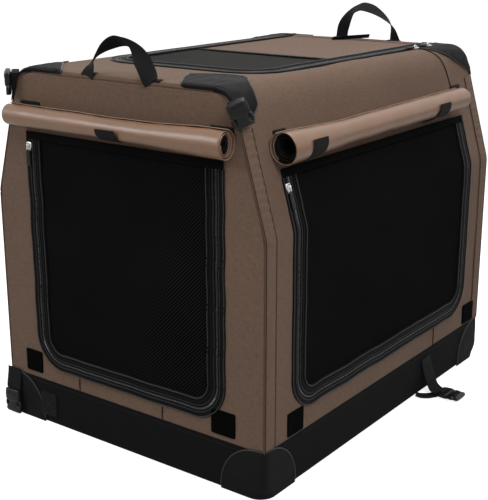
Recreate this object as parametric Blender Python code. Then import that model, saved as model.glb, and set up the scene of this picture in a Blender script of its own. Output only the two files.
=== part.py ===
"""Folding soft dog crate: a steel tube frame in a woven shell with mesh doors.

Metres, +Z up. The front end faces -Y, the long side with the door faces +X,
and the origin is the middle of the footprint on the ground.
"""

import math

import bmesh
import bpy
from mathutils import Matrix, Vector

# Overall body
WIDTH = 0.580
LENGTH = 0.774
HEIGHT = 0.652
KNEE_HEIGHT = 0.430
ROOF_INSET = 0.064
KNEE_RADIUS = 0.060
ROOF_EDGE_RADIUS = 0.040
CLEAR = 0.0004

# Cloth
CLOTH = 0.0025
PATCH_CLOTH = 0.0012
WEBBING = 0.0018

# Base tray and mat
BAND_HEIGHT = 0.085
TRAY_WALL = 0.0025
TRAY_FLOOR = 0.0030
TRAY_CORNER = 0.0090
MAT_THICKNESS = 0.0185
MAT_MARGIN = 0.0035
MAT_CORNER = 0.012

# Steel frame
TUBE = 0.016
TUBE_CORNER = 0.0125
LEG_SETBACK = 0.0032
FRONT_PIVOT_HEIGHT = 0.034
REAR_PIVOT_HEIGHT = 0.052
FOOT_BELOW_PIVOT = 0.0100
FOOT_SHAVE = 0.0007
PIN = 0.0060
PIN_CLEAR = 0.0003
PIN_HEAD = 0.0100
PIN_HEAD_THICK = 0.0015
BRACKET_WIDTH = 0.0125
BRACKET_HALF = 0.0130
BRACKET_OVER_PIVOT = 0.0079
BRACKET_BEHIND_TUBE = 0.0036

# Front mesh door
FRONT_DOOR_HALF = 0.199
FRONT_DOOR_BOTTOM = 0.127
FRONT_DOOR_TOP = 0.531
DOOR_CORNER = 0.050
DOOR_TOP_CORNER = 0.004

# Side mesh door
SIDE_DOOR_HALF = 0.298
SIDE_DOOR_BOTTOM = 0.138
SIDE_DOOR_TOP = 0.512

# Roof hatch
HATCH_HALF = 0.178
HATCH_FRONT = -0.245
HATCH_REAR = 0.340
HATCH_CORNER = 0.070
HATCH_MESH_REAR = 0.012
HATCH_BORDER = 0.012

# Windows of the hidden left side and rear, closed by cloth covers
COVER_OVERLAP = 0.016

# Rolled covers
ROLL_CLOTH = 0.0018
ROLL_LAYER_GAP = 0.0014
FRONT_ROLL_RADIUS = 0.0240
FRONT_ROLL_HALF = 0.236
FRONT_ROLL_HEIGHT = 0.567
SIDE_ROLL_RADIUS = 0.0270
SIDE_ROLL_HALF = 0.303
SIDE_ROLL_CENTRE_Y = -0.025
SIDE_ROLL_HEIGHT = 0.553
ROLL_TURNS = 3.6
ROLL_START = math.radians(75)

# Straps that hold the rolls
ROLL_STRAP_WIDTH = 0.044
FRONT_STRAP_X = 0.012
SIDE_STRAP_Y = (-0.262, 0.165)

# Carry handles
HANDLE_SPREAD = 0.131
HANDLE_WIDTH = 0.030
FRONT_HANDLE_RISE = 0.066
REAR_HANDLE_RISE = 0.077
FRONT_HANDLE_X = -0.008
HANDLE_POINT = 1.55
HANDLE_STAND = 0.004
HANDLE_SETBACK = 0.0155

# Corner patches
BASE_PATCH_REACH = 0.085
FRONT_PATCH_REACH = 0.112
FRONT_PATCH_INNER = 0.100
FRONT_PATCH_OUTER = 0.168
REAR_PATCH_REACH = 0.085
REAR_PATCH_INNER = 0.182
REAR_PATCH_OUTER = 0.212
TOP_PATCH_DROP = 0.062
TOP_PATCH_FOLD = 0.051

# Zip sliders and pulls
SLIDER_WIDTH = 0.012
SLIDER_LENGTH = 0.016
SLIDER_THICK = 0.0075
SLIDER_BODY = 0.0030
ARCH_THICK = 0.0013
ARCH_INSIDE = (0.0040, 0.0100)
ARCH_OUTSIDE = (0.0020, 0.0120)
PULL_LENGTH = 0.034
PULL_WIDTH = 0.008
PULL_THICK = 0.0022
PULL_BAR_PLACE = 0.0076
PULL_EYE_END = 0.0062
REAR_SLIDER_BEFORE_HEM = 0.022
FRONT_SLIDER_BEFORE_HEM = 0.076

# Release buckles and packing straps
BUCKLE_WIDTH = 0.038
BUCKLE_LENGTH = 0.046
BUCKLE_THICK = 0.0120
LEFT_BUCKLE_BELOW_ROOF = 0.027
RIGHT_BUCKLE_BELOW_ROOF = 0.0355
STRAP_WIDTH = 0.036
SIDE_STRAP_Y_PLACE = 0.155
SIDE_STRAP_HEIGHT = 0.070
CORNER_STRAP_X = -0.280

HALF_W = WIDTH / 2
HALF_L = LENGTH / 2
SLOPE = math.atan2(ROOF_INSET, HEIGHT - KNEE_HEIGHT)
TOP_PATCHES = (
    ("front", -1, FRONT_PATCH_REACH, FRONT_PATCH_INNER, FRONT_PATCH_OUTER),
    ("rear", 1, REAR_PATCH_REACH, REAR_PATCH_INNER, REAR_PATCH_OUTER),
)
OUT = Vector((math.cos(SLOPE), 0.0, math.sin(SLOPE)))
PANEL_FACE = HALF_L
PANEL_BACK = HALF_L - CLOTH
HOOP_Y = PANEL_BACK - CLEAR - TUBE / 2
LEG_X = HALF_W - CLOTH - CLEAR - LEG_SETBACK - TUBE / 2
BASE_TUBE_Z = TRAY_FLOOR + CLEAR + TUBE / 2
WALL_BOTTOM = BAND_HEIGHT + CLEAR


def clear_scene():
    for obj in list(bpy.data.objects):
        bpy.data.objects.remove(obj, do_unlink=True)


def material(name, colour, roughness, metallic=0.0):
    made = bpy.data.materials.new(name)
    made.use_nodes = True
    shader = made.node_tree.nodes["Principled BSDF"]
    shader.inputs["Base Color"].default_value = (*colour, 1.0)
    shader.inputs["Roughness"].default_value = roughness
    shader.inputs["Metallic"].default_value = metallic
    return made


def make_materials():
    return {
        "cloth": material("brown_weave", (0.105, 0.068, 0.047), 0.85),
        "lining": material("tan_lining", (0.300, 0.185, 0.120), 0.42),
        "black": material("black_weave", (0.012, 0.012, 0.013), 0.80),
        "mesh": material("black_mesh", (0.006, 0.006, 0.007), 0.75),
        "webbing": material("black_webbing", (0.010, 0.010, 0.011), 0.70),
        "plastic": material("black_plastic", (0.015, 0.015, 0.016), 0.38),
        "steel": material("coated_steel", (0.030, 0.030, 0.032), 0.35, 0.6),
        "zinc": material("bright_zinc", (0.620, 0.610, 0.590), 0.28, 1.0),
        "mat": material("mat_fleece", (0.160, 0.150, 0.140), 0.95),
    }


def put(name, bm, finish, smooth=True):
    """Turns a bmesh in world space into a named object."""
    bmesh.ops.recalc_face_normals(bm, faces=bm.faces)
    mesh = bpy.data.meshes.new(name)
    bm.to_mesh(mesh)
    bm.free()
    if mesh.polygons and smooth:
        mesh.shade_smooth()
        mesh.set_sharp_from_angle(angle=math.radians(35))
    obj = bpy.data.objects.new(name, mesh)
    obj.data.materials.append(finish)
    bpy.context.scene.collection.objects.link(obj)
    return obj


def hang(obj, pivot):
    """Moves an object's origin to a point of its joint's axis, with its shape left where it is."""
    obj.data.transform(Matrix.Translation(-Vector(pivot)))
    obj.location = pivot
    return obj


def cut(obj, cutter, how="DIFFERENCE"):
    """Adds a Boolean whose second shape stays out of the model."""
    cutter.hide_render = True
    cutter.display_type = "WIRE"
    step = obj.modifiers.new(cutter.name, "BOOLEAN")
    step.operation = how
    step.solver = "EXACT"
    step.object = cutter
    return obj


def prism(name, outline, low, high, place, finish):
    """Extrudes a flat outline. place turns (u, v, depth) into a world point."""
    bm = bmesh.new()
    ends = [[bm.verts.new(place(u, v, depth)) for u, v in outline] for depth in (low, high)]
    bm.faces.new(ends[0])
    bm.faces.new(reversed(ends[1]))
    count = len(outline)
    for i in range(count):
        j = (i + 1) % count
        bm.faces.new((ends[0][i], ends[1][i], ends[1][j], ends[0][j]))
    return put(name, bm, finish)


def facing_y(u, v, depth):
    return (u, depth, v)


def facing_x(u, v, depth):
    return (depth, u, v)


def facing_z(u, v, depth):
    return (u, v, depth)


def arc(centre_u, centre_v, radius, start, end, steps):
    """Points of a circular arc, with the angles in degrees."""
    turns = [math.radians(start + (end - start) * i / steps) for i in range(steps + 1)]
    return [(centre_u + radius * math.cos(t), centre_v + radius * math.sin(t)) for t in turns]


def rounded(left, right, low, high, radii, steps=6):
    """Rectangle with its own radius at low-left, low-right, high-right and high-left."""
    a, b, c, d = radii
    return (
        arc(left + a, low + a, a, 180, 270, steps)
        + arc(right - b, low + b, b, 270, 360, steps)
        + arc(right - c, high - c, c, 0, 90, steps)
        + arc(left + d, high - d, d, 90, 180, steps)
    )


def sheet(name, rows, finish, closed=False):
    """Closed solid between an outer and an inner grid of points, given as (outer, inner) rows."""
    outer, inner = rows
    bm = bmesh.new()
    grids = [[[bm.verts.new(p) for p in row] for row in grid] for grid in (outer, inner)]
    last, side = len(outer) - 1, len(outer[0]) - 1
    for i in range(last):
        for j in range(side):
            for grid, turn in zip(grids, (1, -1)):
                ring = (grid[i][j], grid[i + 1][j], grid[i + 1][j + 1], grid[i][j + 1])
                bm.faces.new(ring[::turn])
    for i in range(last):
        for j in (0, side):
            a, b = grids[0][i][j], grids[0][i + 1][j]
            bm.faces.new((a, b, grids[1][i + 1][j], grids[1][i][j]))
    for j in range(side):
        for i in (0, last):
            a, b = grids[0][i][j], grids[0][i][j + 1]
            bm.faces.new((a, b, grids[1][i][j + 1], grids[1][i][j]))
    return put(name, bm, finish)


def sweep(name, path, section, finish, loop=False, across=Vector((0, 1, 0))):
    """Carries a section of (side, up) offsets along a flat path whose plane's normal is across."""
    bm = bmesh.new()
    rings, count = [], len(path)
    for i, point in enumerate(path):
        before = path[i - 1] if loop or i else path[i]
        after = path[(i + 1) % count] if loop or i < count - 1 else path[i]
        ahead, behind = (after - point), (point - before)
        tangent = (ahead.normalized() + behind.normalized()).normalized()
        normal = across.cross(tangent).normalized()
        bend = max(0.5, abs(tangent.dot(ahead.normalized()))) if ahead.length else 1.0
        rings.append([bm.verts.new(point + across * s + normal * (t / bend)) for s, t in section])
    pairs = list(zip(rings, rings[1:])) + ([(rings[-1], rings[0])] if loop else [])
    size = len(section)
    for one, two in pairs:
        for k in range(size):
            m = (k + 1) % size
            bm.faces.new((one[k], two[k], two[m], one[m]))
    if not loop:
        bm.faces.new(rings[0])
        bm.faces.new(reversed(rings[-1]))
    return put(name, bm, finish)


def circle(radius, sides):
    turns = [2 * math.pi * (k + 0.5) / sides for k in range(sides)]
    return [(radius * math.cos(t), radius * math.sin(t)) for t in turns]


def strip(width, thick):
    return [(-width / 2, 0), (width / 2, 0), (width / 2, thick), (-width / 2, thick)]


def rod(name, start, end, radius, finish, sides=12):
    """Straight round bar."""
    start, end = Vector(start), Vector(end)
    axis = (end - start).normalized()
    across = axis.orthogonal().normalized()
    return sweep(name, [start, end], circle(radius, sides), finish, across=across)


def shell_section(inward=0.0, low=WALL_BOTTOM, high=None):
    """Half cross-section from the band up the wall, over the knee and the roof edge.

    Gives (x, z, outward normal) with every point moved inward square to the cloth.
    """
    knee_half = KNEE_RADIUS * math.tan(SLOPE / 2)
    roof_turn = math.pi / 2 - SLOPE
    roof_half = ROOF_EDGE_RADIUS * math.tan(roof_turn / 2)
    found = [(HALF_W, low, 0.0)]
    knee_steps, roof_steps = 3, 7
    for i in range(knee_steps + 1):
        t = SLOPE * i / knee_steps
        centre = (HALF_W - KNEE_RADIUS, KNEE_HEIGHT - knee_half)
        found.append((centre[0] + KNEE_RADIUS * math.cos(t), centre[1] + KNEE_RADIUS * math.sin(t), t))
    roof_x = HALF_W - ROOF_INSET - roof_half
    for i in range(roof_steps + 1):
        t = SLOPE + roof_turn * i / roof_steps
        x = roof_x + ROOF_EDGE_RADIUS * math.cos(t)
        z = HEIGHT - ROOF_EDGE_RADIUS + ROOF_EDGE_RADIUS * math.sin(t)
        found.append((x, z, t))
    return [(x - inward * math.cos(t), z - inward * math.sin(t), t) for x, z, t in found]


ROOF_PANEL_HALF = shell_section()[-1][0]


def wall_x(height):
    """Outer face of the long wall at a height below the roof edge."""
    over = max(0.0, height - KNEE_HEIGHT)
    return HALF_W - over * math.tan(SLOPE)


def end_outline(inward):
    """Outline of an end panel, just inside the walls and the roof."""
    right = [(x, z) for x, z, _ in shell_section(inward)]
    right[0] = (right[0][0], WALL_BOTTOM)
    return right + [(-x, z) for x, z in reversed(right)]


def base_parts(mats):
    outline = rounded(-HALF_W, HALF_W, -HALF_L, HALF_L, [TRAY_CORNER] * 4)
    tray = prism("base_tray", outline, 0.0, BAND_HEIGHT, facing_z, mats["black"])
    inner_w, inner_l = HALF_W - TRAY_WALL, HALF_L - TRAY_WALL
    inner = rounded(-inner_w, inner_w, -inner_l, inner_l, [TRAY_CORNER - TRAY_WALL] * 4)
    top = BAND_HEIGHT + TRAY_WALL
    cut(tray, prism("tray_hollow", inner, TRAY_FLOOR, top, facing_z, mats["black"]))

    x, y = LEG_X, HOOP_Y
    ring = rounded(-x, x, -y, y, [TUBE_CORNER] * 4, steps=5)
    path = [Vector((u, v, BASE_TUBE_Z)) for u, v in ring]
    up = Vector((0, 0, 1))
    sweep("base_frame", path, circle(TUBE / 2, 10), mats["steel"], loop=True, across=up)

    mat_x, mat_y = x - TUBE / 2 - MAT_MARGIN, y - TUBE / 2 - MAT_MARGIN - BRACKET_HALF
    pad = rounded(-mat_x, mat_x, -mat_y, mat_y, [MAT_CORNER] * 4, steps=3)
    low = TRAY_FLOOR + CLEAR
    mat = prism("floor_mat", pad, low, low + MAT_THICKNESS, facing_z, mats["mat"])
    step = mat.modifiers.new("soft_edge", "BEVEL")
    step.width = 0.004
    step.segments = 2
    step.limit_method = "ANGLE"
    step.angle_limit = math.radians(60)


def hoop_path(y, foot):
    """Centre line of an end hoop: leg, knee, sloping leg, bent corner and top bar."""
    inward = HALF_W - LEG_X
    half = [Vector((LEG_X, y, foot))]
    for x, z, _ in shell_section(inward)[1:]:
        half.append(Vector((x, y, z)))
    return half + [Vector((-p.x, p.y, p.z)) for p in reversed(half)]


def hoops(mats):
    for end, side, pivot in (("front", -1, FRONT_PIVOT_HEIGHT), ("rear", 1, REAR_PIVOT_HEIGHT)):
        y = side * HOOP_Y
        path = hoop_path(y, pivot - FOOT_BELOW_PIVOT)
        hoop = sweep(f"hoop_{end}", path, circle(TUBE / 2, 10), mats["steel"])
        reach = LEG_X + TUBE
        bore = PIN / 2 + PIN_CLEAR
        cutter = rod(f"hoop_{end}_bore", (-reach, y, pivot), (reach, y, pivot), bore, mats["steel"])
        cut(hoop, cutter)
        round_foot(mats, hoop, y, pivot, reach)
        hang(hoop, (0, y, pivot))
        for hand, sign in (("left", -1), ("right", 1)):
            hinge(mats, f"{end}_{hand}", sign, side, y, pivot)


def round_foot(mats, hoop, y, pivot, reach):
    """Rounds the legs' ends about the pin, so that they clear the tray's wall as the hoop turns."""
    radius = TUBE / 2 - FOOT_SHAVE
    low = pivot - 2 * TUBE
    outline = arc(y, pivot, radius, 180, 360, 12)
    outline += [(y + TUBE, pivot), (y + TUBE, low), (y - TUBE, low), (y - TUBE, pivot)]
    cut(hoop, prism(f"{hoop.name}_foot", outline, -reach, reach, facing_x, mats["steel"]))


def hinge(mats, place, sign, side, y, pivot):
    """Moulded bracket on the base tube, and the pin that goes through it and the hoop's leg."""
    near = LEG_X - TUBE / 2 - CLEAR
    far = near - BRACKET_WIDTH
    rail_top = BASE_TUBE_Z + TUBE / 2 + CLEAR
    floor = TRAY_FLOOR + CLEAR
    back = HOOP_Y - TUBE / 2 - BRACKET_BEHIND_TUBE
    inner = HOOP_Y - BRACKET_HALF - TUBE / 2
    outline = [(inner, floor), (back, floor), (back, rail_top), (HOOP_Y + BRACKET_OVER_PIVOT, rail_top)]
    outline += arc(HOOP_Y, pivot, BRACKET_OVER_PIVOT, 0, 180, 8)
    outline += [(inner, rail_top)]
    flip = [(side * v, z) for v, z in outline]
    low, high = sorted((sign * far, sign * near))
    bracket = prism(f"hinge_bracket_{place}", flip, low, high, facing_x, mats["plastic"])
    bore = PIN / 2 + PIN_CLEAR
    reach = HALF_W
    cut(bracket, rod(f"bracket_bore_{place}", (0, y, pivot), (sign * reach, y, pivot), bore, mats["steel"]))

    outer = LEG_X + TUBE / 2 + CLEAR
    head = PIN_HEAD_THICK
    spans = [
        (far - CLEAR - head, PIN_HEAD / 2),
        (far - CLEAR, PIN_HEAD / 2),
        (far - CLEAR, PIN / 2),
        (outer, PIN / 2),
        (outer, PIN_HEAD / 2),
        (outer + head, PIN_HEAD / 2),
    ]
    turned(f"hinge_pin_{place}", spans, sign, y, pivot, mats["zinc"])


def turned(name, spans, sign, y, z, finish, sides=12):
    """Turned pin along X from (x, radius) steps."""
    bm = bmesh.new()
    rings = []
    for x, radius in spans:
        ring = [(sign * x, y + u, z + v) for u, v in circle(radius, sides)]
        rings.append([bm.verts.new(p) for p in ring])
    for one, two in zip(rings, rings[1:]):
        for k in range(sides):
            m = (k + 1) % sides
            bm.faces.new((one[k], two[k], two[m], one[m]))
    bm.faces.new(rings[0])
    bm.faces.new(rings[-1])
    return put(name, bm, finish)


def front_opening(grow):
    """Outline of the end door, grown or shrunk."""
    half = FRONT_DOOR_HALF + grow
    radii = (DOOR_CORNER + grow, DOOR_CORNER + grow, DOOR_TOP_CORNER, DOOR_TOP_CORNER)
    return rounded(-half, half, FRONT_DOOR_BOTTOM - grow, FRONT_DOOR_TOP + grow, radii)


def side_opening(grow):
    """Outline of the long side's door, grown or shrunk."""
    half = SIDE_DOOR_HALF + grow
    radii = (DOOR_CORNER + grow, DOOR_CORNER + grow, DOOR_TOP_CORNER, DOOR_TOP_CORNER)
    return rounded(-half, half, SIDE_DOOR_BOTTOM - grow, SIDE_DOOR_TOP + grow, radii)


def end_panels(mats):
    """The cloth ends that ride on the hoops, each with a mesh door or window in its opening."""
    inward = CLOTH + 2 * CLEAR + TRAY_WALL * 0.5
    leaves = (("front", -1, "front_door"), ("rear", 1, "rear_window"))
    for end, side, leaf in leaves:
        low, high = sorted((side * PANEL_FACE, side * PANEL_BACK))
        panel = prism(f"{end}_panel", end_outline(inward), low, high, facing_y, mats["cloth"])
        cutter = prism(f"{end}_panel_hole", front_opening(0.0), low - 0.01, high + 0.01, facing_y, mats["cloth"])
        cut(panel, cutter)
        prism(leaf, front_opening(-CLEAR), low, high, facing_y, mats["mesh"])
    hang(bpy.data.objects["front_door"], (0, -PANEL_FACE, FRONT_DOOR_TOP))


def wall_rows(sign, inward, thick, low, ends, points=None):
    """Outer and inner grids of a cloth that follows the body's section between two Y values."""
    grids = []
    for depth in (inward, inward + thick):
        section = points(depth) if points else shell_section(depth, low)
        grids.append([[(sign * x, y, z) for y in ends] for x, z, _ in section])
    return grids


def side_walls(mats):
    """Long walls with the knee and the rounded roof edge, and the bent mesh leaf of each."""
    ends = (-HALF_L, HALF_L)
    for hand, sign, leaf in (("left", -1, "left_window"), ("right", 1, "side_door")):
        wall = sheet(f"side_wall_{hand}", wall_rows(sign, 0.0, CLOTH, WALL_BOTTOM, ends), mats["cloth"])
        low, high = sorted((sign * HALF_W * 0.5, sign * (HALF_W + 0.02)))
        hole = prism(f"side_hole_{hand}", side_opening(0.0), low, high, facing_x, mats["cloth"])
        cut(wall, hole)
        mesh = sheet(leaf, wall_rows(sign, 0.0, CLOTH, WALL_BOTTOM, ends), mats["mesh"])
        keep = prism(f"{leaf}_outline", side_opening(-CLEAR), low, high, facing_x, mats["mesh"])
        cut(mesh, keep, "INTERSECT")
    hang(bpy.data.objects["side_door"], (wall_x(SIDE_DOOR_TOP), 0, SIDE_DOOR_TOP))


def roof(mats):
    half = ROOF_PANEL_HALF - CLEAR
    low, high = HEIGHT - CLOTH, HEIGHT
    flat = rounded(-half, half, -HALF_L, HALF_L, [0.001] * 4, steps=1)
    panel = prism("roof_panel", flat, low, high, facing_z, mats["cloth"])
    radii = (HATCH_CORNER, HATCH_CORNER, DOOR_TOP_CORNER, DOOR_TOP_CORNER)
    hole = rounded(-HATCH_HALF, HATCH_HALF, HATCH_FRONT, HATCH_REAR, radii)
    cut(panel, prism("roof_hole", hole, low - 0.01, high + 0.01, facing_z, mats["cloth"]))

    edge, front, rear = HATCH_HALF - CLEAR, HATCH_FRONT + CLEAR, HATCH_REAR - CLEAR
    leaf = rounded(-edge, edge, front, rear, radii)
    hatch = prism("roof_hatch", leaf, low, high, facing_z, mats["cloth"])
    border = HATCH_BORDER
    inner = (HATCH_CORNER - border, HATCH_CORNER - border, DOOR_TOP_CORNER, DOOR_TOP_CORNER)

    def window(grow):
        x = edge - border + grow
        return rounded(-x, x, front + border - grow, HATCH_MESH_REAR + grow, inner)

    cut(hatch, prism("hatch_hole", window(0.0), low - 0.01, high + 0.01, facing_z, mats["cloth"]))
    mesh = prism("roof_hatch_mesh", window(-CLEAR), low, high, facing_z, mats["mesh"])
    for obj in (hatch, mesh):
        hang(obj, (0, HATCH_REAR, HEIGHT))


def window_covers(mats):
    """Cloth flaps that close the windows of the left side and the rear."""
    over = COVER_OVERLAP
    low = HALF_L + CLEAR
    outline = front_opening(over)
    rear = prism("rear_window_cover", outline, low, low + PATCH_CLOTH, facing_y, mats["cloth"])
    hang(rear, (0, low, FRONT_DOOR_TOP + over))

    ends = (-HALF_L, HALF_L)
    rows = wall_rows(-1, -CLEAR - PATCH_CLOTH, PATCH_CLOTH, WALL_BOTTOM, ends)
    left = sheet("left_window_cover", rows, mats["cloth"])
    keep = prism("left_cover_outline", side_opening(over), -HALF_W - 0.02, -HALF_W * 0.5, facing_x, mats["cloth"])
    cut(left, keep, "INTERSECT")
    top = SIDE_DOOR_TOP + over
    hang(left, (-wall_x(top) - CLEAR, 0, top))


def roll_reach(radius, turned):
    """Outer radius of a roll after some turns from the cloth's sewn edge."""
    return radius - (ROLL_CLOTH + ROLL_LAYER_GAP) * turned


def roll_outline(radius):
    """Closed outline of a rolled cloth as (towards the wall, up) offsets.

    The cloth comes down from the seam along the wall, then goes under and up the outside.
    """
    outer, inner = [], []
    steps = int(ROLL_TURNS * 18)
    for i in range(steps + 1):
        turned = ROLL_TURNS * i / steps
        turn = ROLL_START - 2 * math.pi * turned
        away = roll_reach(radius, turned)
        for side, r in ((outer, away), (inner, away - ROLL_CLOTH)):
            side.append((r * math.cos(turn), r * math.sin(turn)))
    return outer + inner[::-1]


def rolled_cover(name, radius, foot, wall, up, along, span, strap_places, mats):
    """A cover rolled up against the cloth above its door, with the straps that hold it."""
    centre = foot - wall * (roll_reach(radius, ROLL_START / (2 * math.pi)) + CLEAR)

    def place(u, v, depth):
        return centre + wall * u + up * v + along * depth

    prism(name, roll_outline(radius), *span, place, mats["lining"])
    to_cloth = (foot - centre).dot(wall) - CLEAR - PATCH_CLOTH / 2
    for strap_name, where in strap_places:
        path = []
        for degrees in range(-180, -69, 10):
            turn = math.radians(degrees)
            reach = roll_reach(radius, (ROLL_START - turn) / (2 * math.pi))
            reach += CLEAR + PATCH_CLOTH / 2 + 0.0002
            path.append(place(reach * math.cos(turn), reach * math.sin(turn), where))
        path.append(place(to_cloth, -radius - 0.003, where))
        path.append(place(to_cloth, -radius - 0.009, where))
        section = [(s, t - PATCH_CLOTH / 2) for s, t in strip(ROLL_STRAP_WIDTH, PATCH_CLOTH)]
        sweep(strap_name, path, section, mats["webbing"], across=along)


def rolled_covers(mats):
    """Covers rolled up over the doors, lining outwards."""
    foot = Vector((0, -HALF_L, FRONT_ROLL_HEIGHT))
    span = (-FRONT_ROLL_HALF, FRONT_ROLL_HALF)
    places = [("front_roll_strap", FRONT_STRAP_X)]
    wall, up, along = Vector((0, 1, 0)), Vector((0, 0, 1)), Vector((1, 0, 0))
    rolled_cover("front_cover_roll", FRONT_ROLL_RADIUS, foot, wall, up, along, span, places, mats)
    foot = Vector((wall_x(SIDE_ROLL_HEIGHT), 0, SIDE_ROLL_HEIGHT))
    span = (SIDE_ROLL_CENTRE_Y - SIDE_ROLL_HALF, SIDE_ROLL_CENTRE_Y + SIDE_ROLL_HALF)
    places = [(f"side_roll_strap_{k}", y) for k, y in enumerate(SIDE_STRAP_Y, 1)]
    wall, up, along = -OUT, Vector((-OUT.z, 0, OUT.x)), Vector((0, 1, 0))
    rolled_cover("side_cover_roll", SIDE_ROLL_RADIUS, foot, wall, up, along, span, places, mats)


def handles(mats):
    """Webbing loops that stand on the roof at each end."""
    spread = HANDLE_SPREAD
    ends = (("front", -1, FRONT_HANDLE_RISE, FRONT_HANDLE_X), ("rear", 1, REAR_HANDLE_RISE, 0.0))
    for end, side, rise, middle in ends:
        y = side * (HALF_L - HANDLE_SETBACK)
        foot = HEIGHT + CLEAR
        path = [Vector((middle - spread / 2, y, foot))]
        for i in range(21):
            t = math.pi * i / 20
            lift = 1.0 - abs(math.cos(t)) ** HANDLE_POINT
            x = middle - spread / 2 * math.cos(t)
            path.append(Vector((x, y, foot + HANDLE_STAND + (rise - HANDLE_STAND) * lift)))
        path.append(Vector((middle + spread / 2, y, foot)))
        section = [(s, t) for s, t in strip(HANDLE_WIDTH, WEBBING)]
        obj = sweep(f"{end}_handle", path, section, mats["webbing"])
        hang(obj, (0, y + HANDLE_WIDTH / 2, foot))


def top_patches(mats):
    """Black corner patches over the roof edge, cut to a curve where they run out on the roof."""
    section = [(wall_x(z), z, SLOPE) for z in (HEIGHT - TOP_PATCH_DROP, HEIGHT - TOP_PATCH_FOLD)] + shell_section()[5:]
    for end, side, reach, inner, curve in TOP_PATCHES:
        points = section + [(curve, HEIGHT, math.pi / 2)] if curve < ROOF_PANEL_HALF - 0.002 else section[:-1]
        steps = [0.35, 0.62, 0.82, 0.94]
        points = points + [(curve - (curve - inner) * k, HEIGHT, math.pi / 2) for k in steps]
        for hand, sign in (("left", -1), ("right", 1)):
            grids = []
            for lift in (CLEAR + PATCH_CLOTH, CLEAR):
                grid = []
                for x, z, t in points:
                    away = max(0.0, (curve - x) / (curve - inner))
                    run = reach * math.sqrt(1 - away * away)
                    xx, zz = x + lift * math.cos(t), z + lift * math.sin(t)
                    grid.append([(sign * xx, side * (HALF_L - run * k / 3), zz) for k in range(4)])
                grids.append(grid)
            sheet(f"top_patch_{end}_{hand}", grids, mats["black"])


def base_patches(mats):
    """Round-topped black patches over the tray's corners."""
    lift_out = CLEAR + PATCH_CLOTH
    for end, side in (("front", -1), ("rear", 1)):
        for hand, sign in (("left", -1), ("right", 1)):
            grids = []
            for lift in (lift_out, CLEAR):
                columns = corner_columns(lift)
                grid = []
                for x, y, share in columns:
                    top = 0.012 + (BAND_HEIGHT - 0.012) * math.sqrt(max(0.0, 1 - share * share))
                    grid.append([(sign * x, side * y, 0.002 + (top - 0.002) * k / 3) for k in range(4)])
                grids.append(grid)
            sheet(f"base_patch_{end}_{hand}", grids, mats["black"])


def corner_columns(lift):
    """Plan points round a tray corner with their share of the patch's reach, from -1 to 1."""
    r, reach = TRAY_CORNER, BASE_PATCH_REACH
    straight = reach - r
    found = []
    for i in range(4):
        away = straight * (1 - i / 4)
        found.append((HALF_W + lift, HALF_L - r - away))
    for u, v in arc(HALF_W - r, HALF_L - r, r + lift, 0, 90, 8):
        found.append((u, v))
    for i in range(1, 5):
        away = straight * i / 4
        found.append((HALF_W - r - away, HALF_L + lift))
    last = len(found) - 1
    return [(x, y, 2 * k / last - 1) for k, (x, y) in enumerate(found)]


def zips(mats):
    """Sliders parked at the ends of the zip chains, each with its pull on a pivot."""
    face = -HALF_L - CLEAR
    x = -FRONT_DOOR_HALF - SLIDER_WIDTH / 2 - 0.001
    top = FRONT_DOOR_TOP - 0.006
    down, out, across = Vector((0, 0, -1)), Vector((0, -1, 0)), Vector((1, 0, 0))
    slider(mats, "front_zip", Vector((x, face, top)), down, out, across)
    y = -SIDE_DOOR_HALF - SLIDER_WIDTH / 2 - 0.001
    top = SIDE_DOOR_TOP - 0.010
    lean = Vector((math.sin(SLOPE), 0, -math.cos(SLOPE)))
    start = Vector((wall_x(top), y, top)) + OUT * CLEAR
    slider(mats, "side_zip", start, lean, OUT, Vector((0, 1, 0)))
    x = HATCH_HALF + SLIDER_WIDTH / 2 + 0.001
    for place, before in (("rear", REAR_SLIDER_BEFORE_HEM), ("front", FRONT_SLIDER_BEFORE_HEM)):
        start = Vector((x, HATCH_REAR - before, HEIGHT + CLEAR))
        slider(mats, f"roof_zip_{place}", start, Vector((0, -1, 0)), Vector((0, 0, 1)), Vector((1, 0, 0)))


def slider(mats, name, start, along, out, across):
    """Zip slider: a tapered body with an arch, and a pull whose bar turns inside the arch."""
    half = SLIDER_WIDTH / 2
    taper = [(0, -half), (SLIDER_LENGTH * 0.35, -half), (SLIDER_LENGTH, -half * 0.55)]
    outline = taper + [(u, -v) for u, v in reversed(taper)]

    def lying_at(origin):
        return lambda u, v, depth: origin + along * u + across * v + out * depth

    def standing(u, v, depth):
        return start + along * u + out * v + across * depth

    body = prism(f"{name}_slider", outline, 0.0, SLIDER_BODY, lying_at(start), mats["zinc"])
    low, top = SLIDER_BODY - 0.001, SLIDER_THICK
    first, last = ARCH_OUTSIDE
    arch = [(first, low), (first, top), (last, top), (last, low)]
    first, last = ARCH_INSIDE
    arch += [(last, low), (last, top - ARCH_THICK), (first, top - ARCH_THICK), (first, low)]
    made = prism(f"{name}_arch", arch, -ARCH_THICK, ARCH_THICK, standing, mats["zinc"])
    cut(body, made, "UNION")

    middle = (SLIDER_BODY + SLIDER_THICK - ARCH_THICK) / 2
    pivot = start + along * PULL_BAR_PLACE + out * middle
    wide, half_thick = PULL_WIDTH / 2, PULL_THICK / 2
    tab = rounded(-half_thick, PULL_LENGTH, -wide, wide, (0.001, 0.0035, 0.0035, 0.001), steps=3)
    pull = prism(f"{name}_pull", tab, -half_thick, half_thick, lying_at(pivot), mats["plastic"])
    eye = rounded(half_thick, PULL_EYE_END, -wide + 0.0016, wide - 0.0016, [0.0006] * 4, steps=2)
    cut(pull, prism(f"{name}_eye", eye, -0.01, 0.01, lying_at(pivot), mats["plastic"]))
    hang(pull, pivot)


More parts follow.
